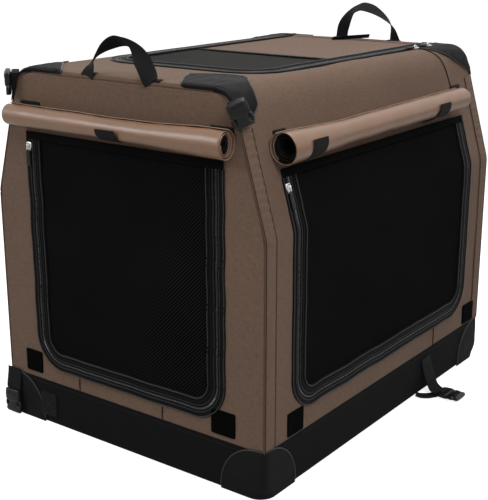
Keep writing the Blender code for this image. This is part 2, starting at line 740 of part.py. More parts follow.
def buckle(mats, name, centre, along, out):
    """Side-release buckle: a waisted body with a notch in each side where the catches show."""
    across = along.cross(out).normalized()
    half, length = BUCKLE_WIDTH / 2, BUCKLE_LENGTH

    def plan(u, v, depth):
        return centre + across * u + along * v + out * depth

    waist, notch = half * 0.78, half * 0.70
    right = [(waist, 0), (half, length * 0.28), (half, length * 0.46), (notch, length * 0.51)]
    right += [(notch, length * 0.76), (half, length * 0.80), (half, length * 0.97)]
    right += [(half * 0.92, length)]
    outline = right + [(-u, v) for u, v in reversed(right)]
    body = prism(name, outline, 0.0, BUCKLE_THICK, plan, mats["plastic"])
    step = body.modifiers.new("rounded_edges", "BEVEL")
    step.width = 0.0012
    step.segments = 2
    step.limit_method = "ANGLE"
    step.angle_limit = math.radians(60)
    return body


def buckles_and_straps(mats):
    """Packing hardware: buckles at the top front corners and webbing straps at the base."""
    corners = (("left", -1, LEFT_BUCKLE_BELOW_ROOF), ("right", 1, RIGHT_BUCKLE_BELOW_ROOF))
    for hand, sign, below in corners:
        out = Vector((sign, -1, 0)).normalized()
        lean = Vector((sign * math.sin(SLOPE), 0, -math.cos(SLOPE)))
        along = (lean - out * lean.dot(out)).normalized()
        height = HEIGHT - below
        corner = Vector((sign * wall_x(height), -HALF_L, height))
        start = corner + out * 0.0060 - along * BUCKLE_LENGTH / 2
        buckle(mats, f"corner_buckle_{hand}", start, along, out)

    # Strap from the long side's band down to a buckle that lies on the ground.
    face = HALF_W + CLEAR
    y, ground = SIDE_STRAP_Y_PLACE, WEBBING / 2 + 0.0004
    shape = [(0.0, SIDE_STRAP_HEIGHT), (0.002, SIDE_STRAP_HEIGHT - 0.012), (0.0065, 0.045)]
    shape += [(0.0130, 0.026), (0.0200, 0.0125), (0.0275, 0.0077), (0.0350, 0.0065)]
    path = [Vector((face + WEBBING / 2 + u, y, v)) for u, v in shape]
    section = [(s, t - WEBBING / 2) for s, t in strip(STRAP_WIDTH, WEBBING)]
    sweep("side_strap", path, section, mats["webbing"], across=Vector((0, -1, 0)))
    start = Vector((path[-1].x + CLEAR, y, 0.0006))
    buckle(mats, "side_strap_buckle", start, Vector((1, 0, 0)), Vector((0, 0, 1)))

    # Short strap that hangs over the left front corner's patch and ends in a buckle.
    face = HALF_L + 2 * CLEAR + PATCH_CLOTH + WEBBING / 2
    run = [(BAND_HEIGHT + 0.005, 0.0), (0.070, 0.0008), (0.056, 0.0030), (0.050, 0.0056)]
    path = [Vector((CORNER_STRAP_X, -face - v, u)) for u, v in run]
    section = [(s, t - WEBBING / 2) for s, t in strip(STRAP_WIDTH, WEBBING)]
    sweep("corner_strap", path, section, mats["webbing"], across=Vector((1, 0, 0)))
    start = Vector((CORNER_STRAP_X, -face - 0.0012, path[-1].z - CLEAR))
    buckle(mats, "corner_strap_buckle", start, Vector((0, 0, -1)), Vector((0, -1, 0)))


def main():
    clear_scene()
    mats = make_materials()
    base_parts(mats)
    hoops(mats)
    end_panels(mats)
    side_walls(mats)
    roof(mats)
    window_covers(mats)
    rolled_covers(mats)
    handles(mats)
    top_patches(mats)
    base_patches(mats)
    zips(mats)
    buckles_and_straps(mats)


main()
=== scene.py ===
"""Looks of the folding soft dog crate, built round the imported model.

Metres, +Z up. The front end faces -Y and the long side with the door faces +X.
A shape here is a surface on a grid of two parameters, or a profile carried along a path,
worked out as whole numpy arrays.
"""

import math

import bmesh
import bpy
import numpy as np
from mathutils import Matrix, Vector


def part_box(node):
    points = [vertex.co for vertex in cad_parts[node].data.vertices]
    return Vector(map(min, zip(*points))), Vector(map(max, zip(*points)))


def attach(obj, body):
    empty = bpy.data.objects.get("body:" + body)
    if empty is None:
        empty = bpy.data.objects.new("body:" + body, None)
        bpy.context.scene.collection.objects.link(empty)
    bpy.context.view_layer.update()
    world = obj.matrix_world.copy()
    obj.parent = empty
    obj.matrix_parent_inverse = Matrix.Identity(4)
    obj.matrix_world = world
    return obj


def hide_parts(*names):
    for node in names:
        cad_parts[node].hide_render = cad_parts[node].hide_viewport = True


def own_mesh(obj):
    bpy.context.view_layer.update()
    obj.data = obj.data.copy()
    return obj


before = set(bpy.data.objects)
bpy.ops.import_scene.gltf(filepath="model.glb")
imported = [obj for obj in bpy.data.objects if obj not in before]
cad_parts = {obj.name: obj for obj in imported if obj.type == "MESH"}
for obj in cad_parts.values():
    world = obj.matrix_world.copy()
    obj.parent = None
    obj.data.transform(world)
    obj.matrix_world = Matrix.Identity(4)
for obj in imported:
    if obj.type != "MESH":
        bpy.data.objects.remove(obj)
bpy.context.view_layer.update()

# Body, repeated from the part's source
HALF_W = 0.29
HALF_L = 0.387
HEIGHT = 0.652
KNEE_HEIGHT = 0.43
ROOF_INSET = 0.064
KNEE_RADIUS = 0.06
ROOF_EDGE_RADIUS = 0.04
BAND_HEIGHT = 0.085
WALL_LOW = 0.0854
SLOPE = math.atan2(ROOF_INSET, HEIGHT - KNEE_HEIGHT)
TRAY_CORNER = 0.009

# Length over which the roof's cloth rolls down at its ends, and the depth of it
ROOF_ROLL = 0.009, 0.0075

# Openings
FRONT_HALF, FRONT_LOW, FRONT_TOP = 0.199, 0.127, 0.531
SIDE_HALF, SIDE_LOW, SIDE_TOP = 0.298, 0.138, 0.512
DOOR_CORNER = 0.05
HATCH_HALF, HATCH_FRONT, HATCH_REAR, HATCH_CORNER = 0.172, -0.239, 0.34, 0.064
HATCH_MESH_REAR = 0.012
COVER_OVERLAP = 0.016
HEADER = 0.0125

# Thicknesses, the width of the webbing at the base, and the radius of a line that marks a seam
CLOTH = 0.0011
THIN_CLOTH = 0.0009
STRIP_CLOTH = 0.001
PATCH_CLOTH = 0.0012
FLOOR_CLOTH = 0.0022
NET = 0.0007
WEBBING = 0.0018
BASE_WEBBING = 0.0355
SEAM_LINE = 0.0009

# Rolled covers
ROLL_PITCH = 0.0032
ROLL_START = math.radians(75)

# Bodies whose pieces each get a mesh of their own. Pieces of the crate named "base" are not among them.
SINKING = ["crate", "side_door", "hatch", "left_cover", "front_handle", "rear_handle"]
for zip_name in ("side_zip", "roof_zip_front", "roof_zip_rear"):
    SINKING += [f"{zip_name}_slider", f"{zip_name}_pull"]

# Camera as fitted to the photograph
CAMERA_PLACE = (1.1557, -1.6081, 0.8687)
CAMERA_YAW, CAMERA_PITCH = -0.638, 0.2914
CAMERA_LENS = 76.33

# Strength of the white surroundings as light. The camera and gloss see them at full strength.
AMBIENT = 0.38

ENDS = (("front", -1), ("rear", 1))
HANDS = (("left", -1), ("right", 1))
CORNERS = [(*end, *hand) for end in ENDS for hand in HANDS]
TAU = 2 * math.pi

# Directions on the right wall's slope: off the cloth and down along it
OFF_SLOPE = np.array([math.cos(SLOPE), 0, math.sin(SLOPE)])
DOWN_SLOPE = np.array([math.sin(SLOPE), 0, -math.cos(SLOPE)])


# ---- materials


class Nodes:
    """A node tree in the making."""

    def __init__(self, tree):
        self.tree = tree

    def add(self, kind, sockets, **settings):
        """Adds a node. A socket's value may be a number, a colour or another node's output."""
        node = self.tree.nodes.new("ShaderNode" + kind)
        for key, value in settings.items():
            setattr(node, key, value)
        for key, value in sockets.items():
            if isinstance(value, bpy.types.NodeSocket):
                self.tree.links.new(value, node.inputs[key])
            else:
                node.inputs[key].default_value = value
        return node

    def maths(self, operation, first, second):
        return self.add("Math", {0: first, 1: second}, operation=operation).outputs[0]

    def total(self, *parts):
        """Sum of outputs, each times its weight."""
        whole, *rest = [self.maths("MULTIPLY", *part) for part in parts]
        for part in rest:
            whole = self.maths("ADD", whole, part)
        return whole


class Finish(Nodes):
    """A material in the making. Its even numbers sit on the shader's own sockets."""

    def __init__(self, name, roughness, sheen=0.0, metallic=0.0, coat=0.0, gloss=0.12):
        self.made = bpy.data.materials.new(name)
        self.made.use_nodes = True
        super().__init__(self.made.node_tree)
        self.shader = self.tree.nodes["Principled BSDF"]
        numbers = {"Roughness": roughness, "Metallic": metallic, "Specular IOR Level": gloss,
                   "Sheen Weight": sheen, "Sheen Roughness": 0.6, "Coat Weight": coat, "Coat Roughness": 0.25}
        for socket, value in numbers.items():
            self.shader.inputs[socket].default_value = value

    def spot(self, own=False, scale=(1, 1, 1)):
        """The place in the object, or the piece's own UV map in metres."""
        source = self.add("UVMap", {}, uv_map="cloth") if own else self.add("TexCoord", {})
        vector = source.outputs["UV" if own else "Object"]
        return self.add("Mapping", {"Vector": vector, "Scale": scale}).outputs[0]

    def waves(self, vector, period, direction):
        """Even bands of a period in metres."""
        sockets = {"Vector": vector, "Scale": TAU / (20 * period), "Distortion": 0.0}
        return self.add("TexWave", sockets, wave_type="BANDS", bands_direction=direction).outputs["Fac"]

    def noise(self, vector, scale, detail=3.0, roughness=0.55):
        sockets = {"Vector": vector, "Scale": scale, "Detail": detail, "Roughness": roughness}
        return self.add("TexNoise", sockets).outputs["Fac"]

    def tone(self, share, low, high):
        """Colour between two, by a share."""
        ramp = self.add("ValToRGB", {"Fac": share})
        for stop, colour, place in zip(ramp.color_ramp.elements, (low, high), (0.25, 0.75)):
            stop.color = (*colour, 1)
            stop.position = place
        self.tree.links.new(ramp.outputs[0], self.shader.inputs["Base Color"])

    def rough(self, share, weight, base):
        rough = self.maths("ADD", self.maths("MULTIPLY", share, weight), base)
        self.tree.links.new(rough, self.shader.inputs["Roughness"])

    def relief(self, height, strength, distance):
        bump = self.add("Bump", {"Height": height, "Strength": strength, "Distance": distance})
        self.tree.links.new(bump.outputs[0], self.shader.inputs["Normal"])


def times(colour, factor):
    return tuple(min(1.0, c * factor) for c in colour)


def woven(name, colour, spread, period, roughness, sheen, gloss=0.12):
    """Plain weave: two sets of threads, slubs along both, mottled yarn and slow patches of wear."""
    f = Finish(name, roughness, sheen, gloss=gloss)
    uv = f.spot(True)
    threads = f.maths("MULTIPLY", f.waves(uv, period, "X"), f.waves(uv, period, "Y"))
    across = f.noise(f.spot(True, (75, 520, 1)), 1.0)
    along = f.noise(f.spot(True, (520, 75, 1)), 1.0)
    mottle = f.noise(f.spot(), 330.0, 3.0, 0.7)
    patches = f.noise(f.spot(), 6.0, 4.0)
    share = f.total((across, 0.3), (along, 0.22), (mottle, 0.3), (patches, 0.14), (threads, 0.08))
    share = f.maths("ADD", f.maths("MULTIPLY", share, 2.2), -0.62)
    f.tone(share, times(colour, 1 - spread), times(colour, 1 + spread))
    f.rough(patches, 0.12, roughness - 0.06)
    f.relief(f.total((threads, 1.0), (across, 0.8), (mottle, 0.6)), 0.3, 0.0006)
    return f.made


def coated_lining(name, colour):
    """Satin coated cloth: a fine pebble, soft creases and a low gloss that varies."""
    f = Finish(name, 0.38, coat=0.2, gloss=0.42)
    pebble = f.noise(f.spot(), 520.0, 2.0)
    creases = f.noise(f.spot(True, (30, 7, 1)), 1.0)
    f.tone(f.total((creases, 0.6), (pebble, 0.4)), times(colour, 0.86), times(colour, 1.12))
    f.rough(creases, 0.16, 0.3)
    f.relief(f.total((pebble, 0.4), (creases, 1.0)), 0.3, 0.0012)
    return f.made


def ribbed(name, colour, period, roughness, direction="Y", gloss=0.05):
    """Webbing or zip tape: ribs across the run, with a fine yarn along it."""
    f = Finish(name, roughness, 0.02, gloss=gloss)
    uv = f.spot(True)
    ribs = f.waves(uv, period, direction)
    yarn = f.waves(uv, period * 0.45, "X" if direction == "Y" else "Y")
    wear = f.noise(f.spot(), 60.0, 4.0)
    f.tone(f.total((ribs, 0.45), (wear, 0.55)), times(colour, 0.75), times(colour, 1.9))
    f.rough(wear, 0.16, roughness - 0.08)
    f.relief(f.total((ribs, 1.0), (yarn, 0.4)), 0.35, 0.0005)
    return f.made


def netting(name, hole, thread, period):
    """Knitted mesh: two slanting sets of narrow threads, one the stronger, with the holes between painted dark.
    """
    f = Finish(name, 0.8, gloss=0.01)
    turned = f.add("VectorRotate", {"Vector": f.spot(True), "Angle": 0.79}, rotation_type="Z_AXIS").outputs[0]
    strong, weak = (f.maths("POWER", f.waves(turned, period, axis), 2.5) for axis in "XY")
    grid = f.maths("MAXIMUM", strong, f.maths("MULTIPLY", weak, 0.6))
    # The hole colour is painted shade, standing for the dark inside of the crate behind the mesh
    f.tone(f.total((grid, 0.75), (f.noise(f.spot(), 9.0), 0.25)), hole, thread)
    f.relief(grid, 0.45, 0.0006)
    return f.made


def moulded(name, colour, roughness, grain, metallic=0.0, coat=0.0, gloss=0.3):
    """Moulded plastic, powder coat or plated metal: fine grain, faint scuffs, worn patches."""
    f = Finish(name, roughness, 0.0, metallic, coat, 0.5 if metallic else gloss)
    fine = f.noise(f.spot(), grain, 2.0)
    scuffs = f.noise(f.spot(scale=(25, 160, 60)), 3.0, 5.0, 0.7)
    f.tone(scuffs, times(colour, 0.85), times(colour, 1.25))
    f.rough(scuffs, 0.2, roughness - 0.1)
    f.relief(f.total((fine, 0.5), (scuffs, 0.5)), 0.2, 0.0003)
    return f.made


def fleece(name, colour, sheen):
    """Soft pile: tufts of two sizes, with a sheen."""
    f = Finish(name, 0.95, sheen, gloss=0.03)
    share = f.total((f.noise(f.spot(), 260.0, 4.0, 0.7), 0.6), (f.noise(f.spot(), 45.0), 0.4))
    f.tone(share, times(colour, 0.6), times(colour, 1.35))
    f.relief(share, 0.8, 0.0025)
    return f.made


# Colours are in linear light
MATS = {
    "brown": woven("brown_weave", (0.112, 0.069, 0.047), 0.24, 0.0009, 0.84, 0.05),
    "seam": woven("brown_seam_tape", (0.07, 0.043, 0.03), 0.18, 0.0008, 0.86, 0.03),
    # Near-black brown for thin seam and groove lines: painted shade of the grooves
    "painted_seam_shade": woven("brown_painted_seam_shade", (0.018, 0.011, 0.008), 0.2, 0.0008, 0.86, 0.0, 0.03),
    "lining": coated_lining("tan_lining", (0.17, 0.093, 0.053)),
    "black": woven("black_weave", (0.0046, 0.0046, 0.005), 0.35, 0.0011, 0.8, 0.01, 0.04),
    "patch": woven("black_patch_weave", (0.0048, 0.0049, 0.0051), 0.3, 0.001, 0.62, 0.01, 0.06),
    "webbing": ribbed("black_webbing", (0.004, 0.004, 0.0044), 0.0022, 0.66),
    "tape": ribbed("zip_tape", (0.0018, 0.0018, 0.002), 0.0014, 0.5, "X", 0.03),
    "binding": ribbed("edge_binding", (0.0026, 0.0026, 0.0029), 0.0016, 0.5, "X", 0.03),
    # The piping's grey is lighter than the black tape: partly a glossier cord, partly painted highlight on the
    # ridges
    "piping": ribbed("edge_piping_painted_highlight", (0.011, 0.011, 0.012), 0.003, 0.4, gloss=0.22),
    "mesh": netting("black_mesh", (0.0003, 0.0003, 0.0003), (0.01, 0.01, 0.0104), 0.0046),
    "roof_mesh": netting("roof_mesh", (0.005, 0.0051, 0.005), (0.048, 0.047, 0.044), 0.0056),
    "hook": fleece("hook_and_loop", (0.001, 0.001, 0.0011), 0.0),
    "plastic": moulded("black_plastic", (0.006, 0.006, 0.0065), 0.3, 900.0, gloss=0.24),
    # The coil's grey, lighter than the black tape: painted glint along the coil
    "coil": moulded("zip_coil_painted_glint", (0.026, 0.026, 0.027), 0.28, 500.0, coat=0.2),
    "steel": moulded("coated_steel", (0.026, 0.026, 0.028), 0.38, 700.0, 0.5),
    "zinc": moulded("bright_zinc", (0.66, 0.65, 0.62), 0.27, 300.0, 1.0),
    "mat": fleece("mat_fleece", (0.16, 0.15, 0.14), 0.3),
    "thread": ribbed("sewing_thread", (0.15, 0.105, 0.078), 0.0007, 0.6),
    "dark_thread": ribbed("black_thread", (0.026, 0.026, 0.028), 0.0007, 0.5),
}


# ---- surfaces


def mm(*rows):
    return np.array(rows, float) / 1000


def stacked(*parts):
    return np.stack(np.broadcast_arrays(*parts), -1)


def circle(turn):
    return stacked(np.cos(turn), np.sin(turn))


def unit(vectors):
    return vectors / np.linalg.norm(vectors, axis=-1, keepdims=True)


def length_along(line):
    return np.concatenate([[0.0], np.cumsum(np.linalg.norm(np.diff(line, axis=0), axis=1))])


def sampled(line, at, run):
    return np.stack([np.interp(at, run, column) for column in line.T], -1)


def mix(a, b, share):
    return a * (1 - share) + b * share


def ease(x):
    """Smooth step from 0 to 1."""
    x = np.clip(x, 0, 1)
    return x * x * (3 - 2 * x)


def ripple(u, v, length, seed):
    """Sum of seven slanting sine waves about one wavelength, between -1 and 1."""
    turns = np.random.default_rng(seed)
    total = 0.0
    for angle, phase, share in turns.uniform((0, 0, 0.6), (math.pi, 6.28, 1.7), (7, 3)):
        along = u * math.cos(angle) + v * math.sin(angle)
        total = total + np.sin(TAU * along / (length * share) + phase)
    return total / 4.0


def arch(share):
    """Rise from 0 to 1 and back as the share goes from 0 to 1, as half a sine wave."""
    return np.sin(math.pi * share)


def bent_down(end):
    """Drop of the roof cloth at a distance from its end, over which it rolls down by a quarter oval."""
    away = np.clip(1 - end / ROOF_ROLL[0], 0, 1)
    return ROOF_ROLL[1] * (1 - np.sqrt(1 - np.minimum(away, 0.999) ** 2))


def surface(name, points, finish, uv, wrap=(False, False), out=None, weld=False):
    """Mesh of a grid of points. It faces along out, or away from its own inside where out is None."""
    rows, columns = points.shape[:2]
    index = np.arange(rows * columns).reshape(rows, columns)
    if wrap[0]:
        index = np.vstack([index, index[:1]])
    if wrap[1]:
        index = np.hstack([index, index[:, :1]])
    quads = np.stack([index[:-1, :-1], index[1:, :-1], index[1:, 1:], index[:-1, 1:]], -1).reshape(-1, 4)
    flat = points.reshape(-1, 3)
    a, b, c, d = (flat[quads[:, k]] for k in range(4))
    facing = (a + b + c + d) / 4 - flat.mean(0) if out is None else np.array(out, float)
    if (np.cross(c - a, d - b) * facing).sum() < 0:
        quads = quads[:, ::-1]
    return mesh_piece(name, flat, quads, finish, uv, weld)


def mesh_piece(name, flat, faces, finish, uv, weld=False):
    mesh = bpy.data.meshes.new(name)
    mesh.from_pydata(flat, [], faces)
    layer = mesh.uv_layers.new(name="cloth")
    layer.data.foreach_set("uv", uv.reshape(-1, 2)[np.asarray(faces).ravel()].astype(np.float32).ravel())
    if weld:
        bm = bmesh.new()
        bm.from_mesh(mesh)
        bmesh.ops.remove_doubles(bm, verts=bm.verts, dist=1e-6)
        bmesh.ops.recalc_face_normals(bm, faces=bm.faces)
        bm.to_mesh(mesh)
        bm.free()
    mesh.shade_smooth()
    mesh.set_sharp_from_angle(angle=math.radians(42))
    mesh.materials.append(MATS[finish])
    return shown(name, mesh)


def shown(name, data):
    obj = bpy.data.objects.new(name, data)
    bpy.context.scene.collection.objects.link(obj)
    return obj


def joined(name, pieces):
    """Makes several meshes of one finish into one piece."""
    for obj in bpy.context.selected_objects:
        obj.select_set(False)
    for obj in pieces:
        obj.select_set(True)
    bpy.context.view_layer.objects.active = pieces[0]
    bpy.ops.object.join()
    pieces[0].name = name
    pieces[0].data.name = name
    return pieces[0]


def thicken(obj, thickness, inner=None):
    """Gives a sheet its thickness on the side away from its face."""
    step = obj.modifiers.new("thickness", "SOLIDIFY")
    step.thickness = thickness
    step.offset = -1.0
    if inner is not None:
        obj.data.materials.append(MATS[inner])
        step.material_offset = 1


def belongs(obj, body, *nodes):
    """Rides a piece on its body, hides the solids it stands for, and gives it a mesh of its own where its body is
    in SINKING.
    """
    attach(obj, "crate" if body == "base" else body)
    if nodes:
        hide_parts(*nodes)
    if body in SINKING:
        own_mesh(obj)
    return obj


def cloth(name, points, finish, uv, out, thickness, body, *nodes, inner=None, wrap=False, rests=None, **flat):
    """Sheet on its body, with its thickness on the side away from its face.

    The solids it rests on and its flat size and area are not used.
    """
    obj = surface(name, points, finish, uv, (False, wrap), out)
    thicken(obj, thickness, inner)
    belongs(obj, body, *nodes)


def section_table():
    """Half cross-section of the shell as length along the cloth, x, z and the outward turn.

    Straight wall, knee arc, sloping wall, roof-edge arc, then the flat roof to the middle.
    """
    knee = KNEE_RADIUS * math.tan(SLOPE / 2)
    edge = ROOF_EDGE_RADIUS * math.tan((math.pi / 2 - SLOPE) / 2)
    low, high = np.linspace(0, SLOPE, 24), np.linspace(SLOPE, math.pi / 2, 48)
    knee_x = HALF_W - KNEE_RADIUS + KNEE_RADIUS * np.cos(low)
    knee_z = KNEE_HEIGHT - knee + KNEE_RADIUS * np.sin(low)
    edge_x = HALF_W - ROOF_INSET - edge + ROOF_EDGE_RADIUS * np.cos(high)
    edge_z = HEIGHT - ROOF_EDGE_RADIUS + ROOF_EDGE_RADIUS * np.sin(high)
    x = np.concatenate([[HALF_W], knee_x, edge_x, [0.0]])
    z = np.concatenate([[WALL_LOW], knee_z, edge_z, [HEIGHT]])
    turn = np.concatenate([[0.0], low, high, [math.pi / 2]])
    return length_along(stacked(x, z)), x, z, turn


RUN, RUN_X, RUN_Z, RUN_TURN = section_table()
EDGE_RUN = RUN[-2]
EDGE_X = RUN_X[-2]


def run_at(z):
    """Length along the cloth at a height below the roof."""
    return float(np.interp(z, RUN_Z[:-1], RUN[:-1]))


def on_section(v):
    return (np.interp(v, RUN, column) for column in (RUN_X, RUN_Z, RUN_TURN))


def on_side(sign):
    """Places (y, length along the cloth, height off it) on a long wall and the roof's half."""

    def place(u, v, h=0.0):
        x, z, turn = on_section(v)
        return stacked(sign * (x + h * np.cos(turn)), u, z + h * np.sin(turn))

    return place


def on_end(side):
    """Places (x, z, height off it) on an end panel."""
    return lambda u, v, h=0.0: stacked(u, side * (HALF_L + h), v)


def on_roof(u, v, h=0.0):
    return stacked(u, v, HEIGHT + h)


def framed(origin, across, along, out):
    """Places (across, along, out) offsets at a point."""
    axes = np.array([across, along, out], float)
    return lambda u, v, h=0.0: origin + stacked(u, v, h) @ axes


# Each face's opening as half width, low and high edge, then its placing and its outward direction
FACES = {
    "front": (FRONT_HALF, FRONT_LOW, FRONT_TOP, on_end(-1), (0, -1, 0)),
    "rear": (FRONT_HALF, FRONT_LOW, FRONT_TOP, on_end(1), (0, 1, 0)),
    "left": (SIDE_HALF, run_at(SIDE_LOW), run_at(SIDE_TOP), on_side(-1), (-1, 0, 0.2)),
    "right": (SIDE_HALF, run_at(SIDE_LOW), run_at(SIDE_TOP), on_side(1), (1, 0, 0.2)),
}


def rounded(u0, u1, v0, v1, radii, per_corner=12, per_side=16):
    """Rounded rectangle, anticlockwise from its low left corner, with points on the sides too."""
    found = []
    corners = ((u0, v0, 1, 1, 180), (u1, v0, -1, 1, 270), (u1, v1, -1, -1, 0), (u0, v1, 1, -1, 90))
    for (u, v, du, dv, first), radius in zip(corners, radii):
        turn = np.radians(np.linspace(first, first + 90, per_corner + 1))
        centre = np.array([u + du * radius, v + dv * radius])
        found.append(centre + radius * circle(turn))
    whole = []
    for one, two in zip(found, found[1:] + found[:1]):
        share = np.linspace(0, 1, per_side + 1)[1:-1, None]
        whole += [one, mix(one[-1], two[0], share)]
    return np.concatenate(whole)


def reach(outline, centre, turns):
    """Distance from the centre to a closed outline in each direction."""
    a = outline - centre
    edge = (np.roll(a, -1, axis=0) - a)[None]
    a = a[None]
    d = circle(turns)[:, None]
    across = d[..., 0] * edge[..., 1] - d[..., 1] * edge[..., 0]
    safe = np.where(np.abs(across) < 1e-12, 1.0, across)
    far = (a[..., 0] * edge[..., 1] - a[..., 1] * edge[..., 0]) / safe
    share = (a[..., 0] * d[..., 1] - a[..., 1] * d[..., 0]) / safe
    good = (np.abs(across) > 1e-12) & (far > 0) & (share > -1e-6) & (share < 1 + 1e-6)
    return np.where(good, far, -1.0).max(1)


def area_of(outline):
    u, v = outline.T
    return abs(np.sum(u * np.roll(v, -1) - v * np.roll(u, -1))) / 2


RING_ROWS = np.array([0, 0.02, 0.06, 0.13, 0.22, 0.32, 0.43, 0.54, 0.65, 0.76, 0.86, 0.93, 0.975, 1])[:, None]


def ring(opening, corner, outer):
    """Cloth between an opening with two round corners and a closed outline, along rays from the middle.

    Gives the grid of RING_ROWS shares and the flat area.
    """
    inner = rounded(*opening, [corner, corner, 0.004, 0.004])
    centre = (inner.max(0) + inner.min(0)) / 2
    turns = [np.arctan2(*(line - centre).T[::-1]) for line in (inner, outer)]
    turns = np.sort(np.concatenate([*turns, np.linspace(-math.pi, math.pi, 180, endpoint=False)]))
    turns = turns[np.concatenate([[True], np.diff(turns) > 0.0025])]
    distance = mix(reach(inner, centre, turns), reach(outer, centre, turns), RING_ROWS)
    grid = centre + distance[..., None] * circle(turns)
    return grid, area_of(outer) - area_of(inner)


def leaf_grid(half, low, high, radius, columns=60, rows=56):
    """Grid that fills an outline with two round corners at its low side."""
    turn = np.linspace(0, math.pi / 2, 12)
    v = np.concatenate([low + radius * (1 - np.cos(turn)), np.linspace(low + radius, high, rows)[1:]])
    inside = np.clip(1 - (v - low) / radius, 0, 1)
    wide = half - radius * (1 - np.sqrt(1 - inside**2))
    u = np.linspace(-1, 1, columns)[None] * wide[:, None]
    return u, np.broadcast_to(v[:, None], u.shape)


def from_edge(u, v, half, low, high):
    """Share of the way in from a leaf's edge to its middle."""
    return 1 - np.maximum(np.abs(u) / half, np.abs(v - (low + high) / 2) / ((high - low) / 2))


def edge_path(half, low, high, radius, step=0.004):
    """Edge of an opening from its high left end, round the low corners, to its high right end.

    Gives the points, the normals that point inwards and the length along the edge.
    """
    side = np.arange(0, high - low - radius, step)
    turn = np.radians(np.linspace(0, 90, 24))
    bottom = np.arange(-half + radius + step, 0, step)
    corner = stacked(-half + radius * (1 - np.cos(turn)), low + radius * (1 - np.sin(turn)))
    points = np.concatenate([stacked(-half, high - side), corner, stacked(bottom, low)])
    normals = [stacked(1.0, 0 * side), circle(turn), stacked(0 * bottom, 1.0)]
    normals = np.concatenate(normals)
    points = np.concatenate([points, [[0.0, low]], points[::-1] * [-1, 1]])
    normals = np.concatenate([normals, [[0.0, 1.0]], normals[::-1] * [-1, 1]])
    return points, normals, length_along(points)


def solid(name, points, finish, uv, loop=False):
    """Closed skin of sections. Each end is drawn together to one point, unless it is a loop."""
    if not loop:
        first, last = (np.broadcast_to(end.mean(1, keepdims=True), end.shape)
                       for end in (points[:1], points[-1:]))
        points = np.concatenate([first, points, last])
        uv = np.concatenate([uv[:1], uv, uv[-1:]])
    return surface(name, points, finish, uv, (loop, True), weld=True)


def trim(name, path, profile, place, finish):
    """Carries a closed profile of (inwards, height) along an opening's edge, shut at its ends."""
    points, normals, run = path
    inwards, height = profile.T[:, None]
    u, v = (points[:, None, k] + normals[:, None, k] * inwards for k in (0, 1))
    return solid(name, place(u, v, height), finish, stacked(run[:, None], length_along(profile)))


def tube(name, centre, radius, finish, sides=10, loop=False, squash=1.0, up=(0, 0, 1)):
    """Round or flattened tube along points. The radius may change along it.

    The section's axes are square to the path and to up.
    """
    tangent = np.roll(centre, -1, 0) - np.roll(centre, 1, 0) if loop else np.gradient(centre, axis=0)
    tangent = unit(tangent)
    side = np.cross(tangent, np.asarray(up, float))
    weak = np.linalg.norm(side, axis=1, keepdims=True) < 0.05
    side = unit(np.where(weak, np.cross(tangent, [1.0, 0.0, 0.0]), side))[:, None]
    rise = np.cross(side, tangent[:, None])
    turn = np.linspace(0, TAU, sides, endpoint=False)
    radius = np.broadcast_to(radius, (len(centre),))[:, None, None]
    points = centre[:, None] + radius * (side * np.cos(turn)[:, None] + squash * rise * np.sin(turn)[:, None])
    uv = stacked(turn * radius[:, :, 0], length_along(centre)[:, None])
    return solid(name, points, finish, uv, loop)


def superellipse(sides, wide, high):
    """Turns and section whose cosine and sine are raised to a power each."""
    turn = np.linspace(0, TAU, sides, endpoint=False)
    c, s = np.cos(turn), np.sin(turn)
    return turn, np.sign(c) * np.abs(c) ** wide, np.sign(s) * np.abs(s) ** high


def band(name, centre, across, width, thick, finish):
    """Flat webbing: a rounded slab carried along points, with its own width direction at each."""
    centre = np.asarray(centre, float)
    tangent = unit(np.gradient(centre, axis=0))
    across = np.broadcast_to(np.asarray(across, float), centre.shape)
    across = unit(across - tangent * (across * tangent).sum(1, keepdims=True))
    rise = np.cross(across, tangent)[:, None]
    _, wide, high = superellipse(28, 0.35, 0.9)
    points = centre[:, None] + across[:, None] * wide[:, None] * width / 2 + rise * high[:, None] * thick / 2
    uv = stacked(wide * width / 2, length_along(centre)[:, None])
    return solid(name, points, finish, uv)


def loft(name, sections, finish, place, power=0.5):
    """Moulded body: superellipse sections of (place along, half width, half height, lift)."""
    turn, wide, high = superellipse(32, power, power)
    v, half, tall, lift = sections.T[..., None]
    return solid(name, place(half * wide, v, lift + tall * high), finish, stacked(turn * 0.01, v))


def stitches(name, line, normal, finish, length=0.0034, gap=0.0016, width=0.0007, height=0.0006):
    """Row of sewn stitches: a pointed six-corner lozenge at each even step along a line."""
    normal = np.broadcast_to(np.asarray(normal, float), line.shape)
    run = length_along(line)
    at = np.arange(length, run[-1] - length, length + gap)
    centre = sampled(line, at, run)
    tangent = unit(sampled(line, at + length / 2, run) - sampled(line, at - length / 2, run))
    rise = unit(sampled(normal, at, run))
    side = np.cross(tangent, rise)
    offsets = ((-0.5, 0, 0), (0.5, 0, 0), (0, -0.5, 0), (0, 0.5, 0), (0, 0, 1), (0, 0, -0.5))
    corners = [centre + tangent * a * length + side * b * width + rise * c * height for a, b, c in offsets]
    flat = np.stack(corners, 1).reshape(-1, 3)
    faces = [(0, 2, 4), (2, 1, 4), (1, 3, 4), (3, 0, 4), (2, 0, 5), (1, 2, 5), (3, 1, 5), (0, 3, 5)]
    faces = (np.array(faces)[None] + 6 * np.arange(len(at))[:, None, None]).reshape(-1, 3)
    return mesh_piece(name, flat, faces, finish, stacked(flat[:, 0] + flat[:, 1], flat[:, 2]))


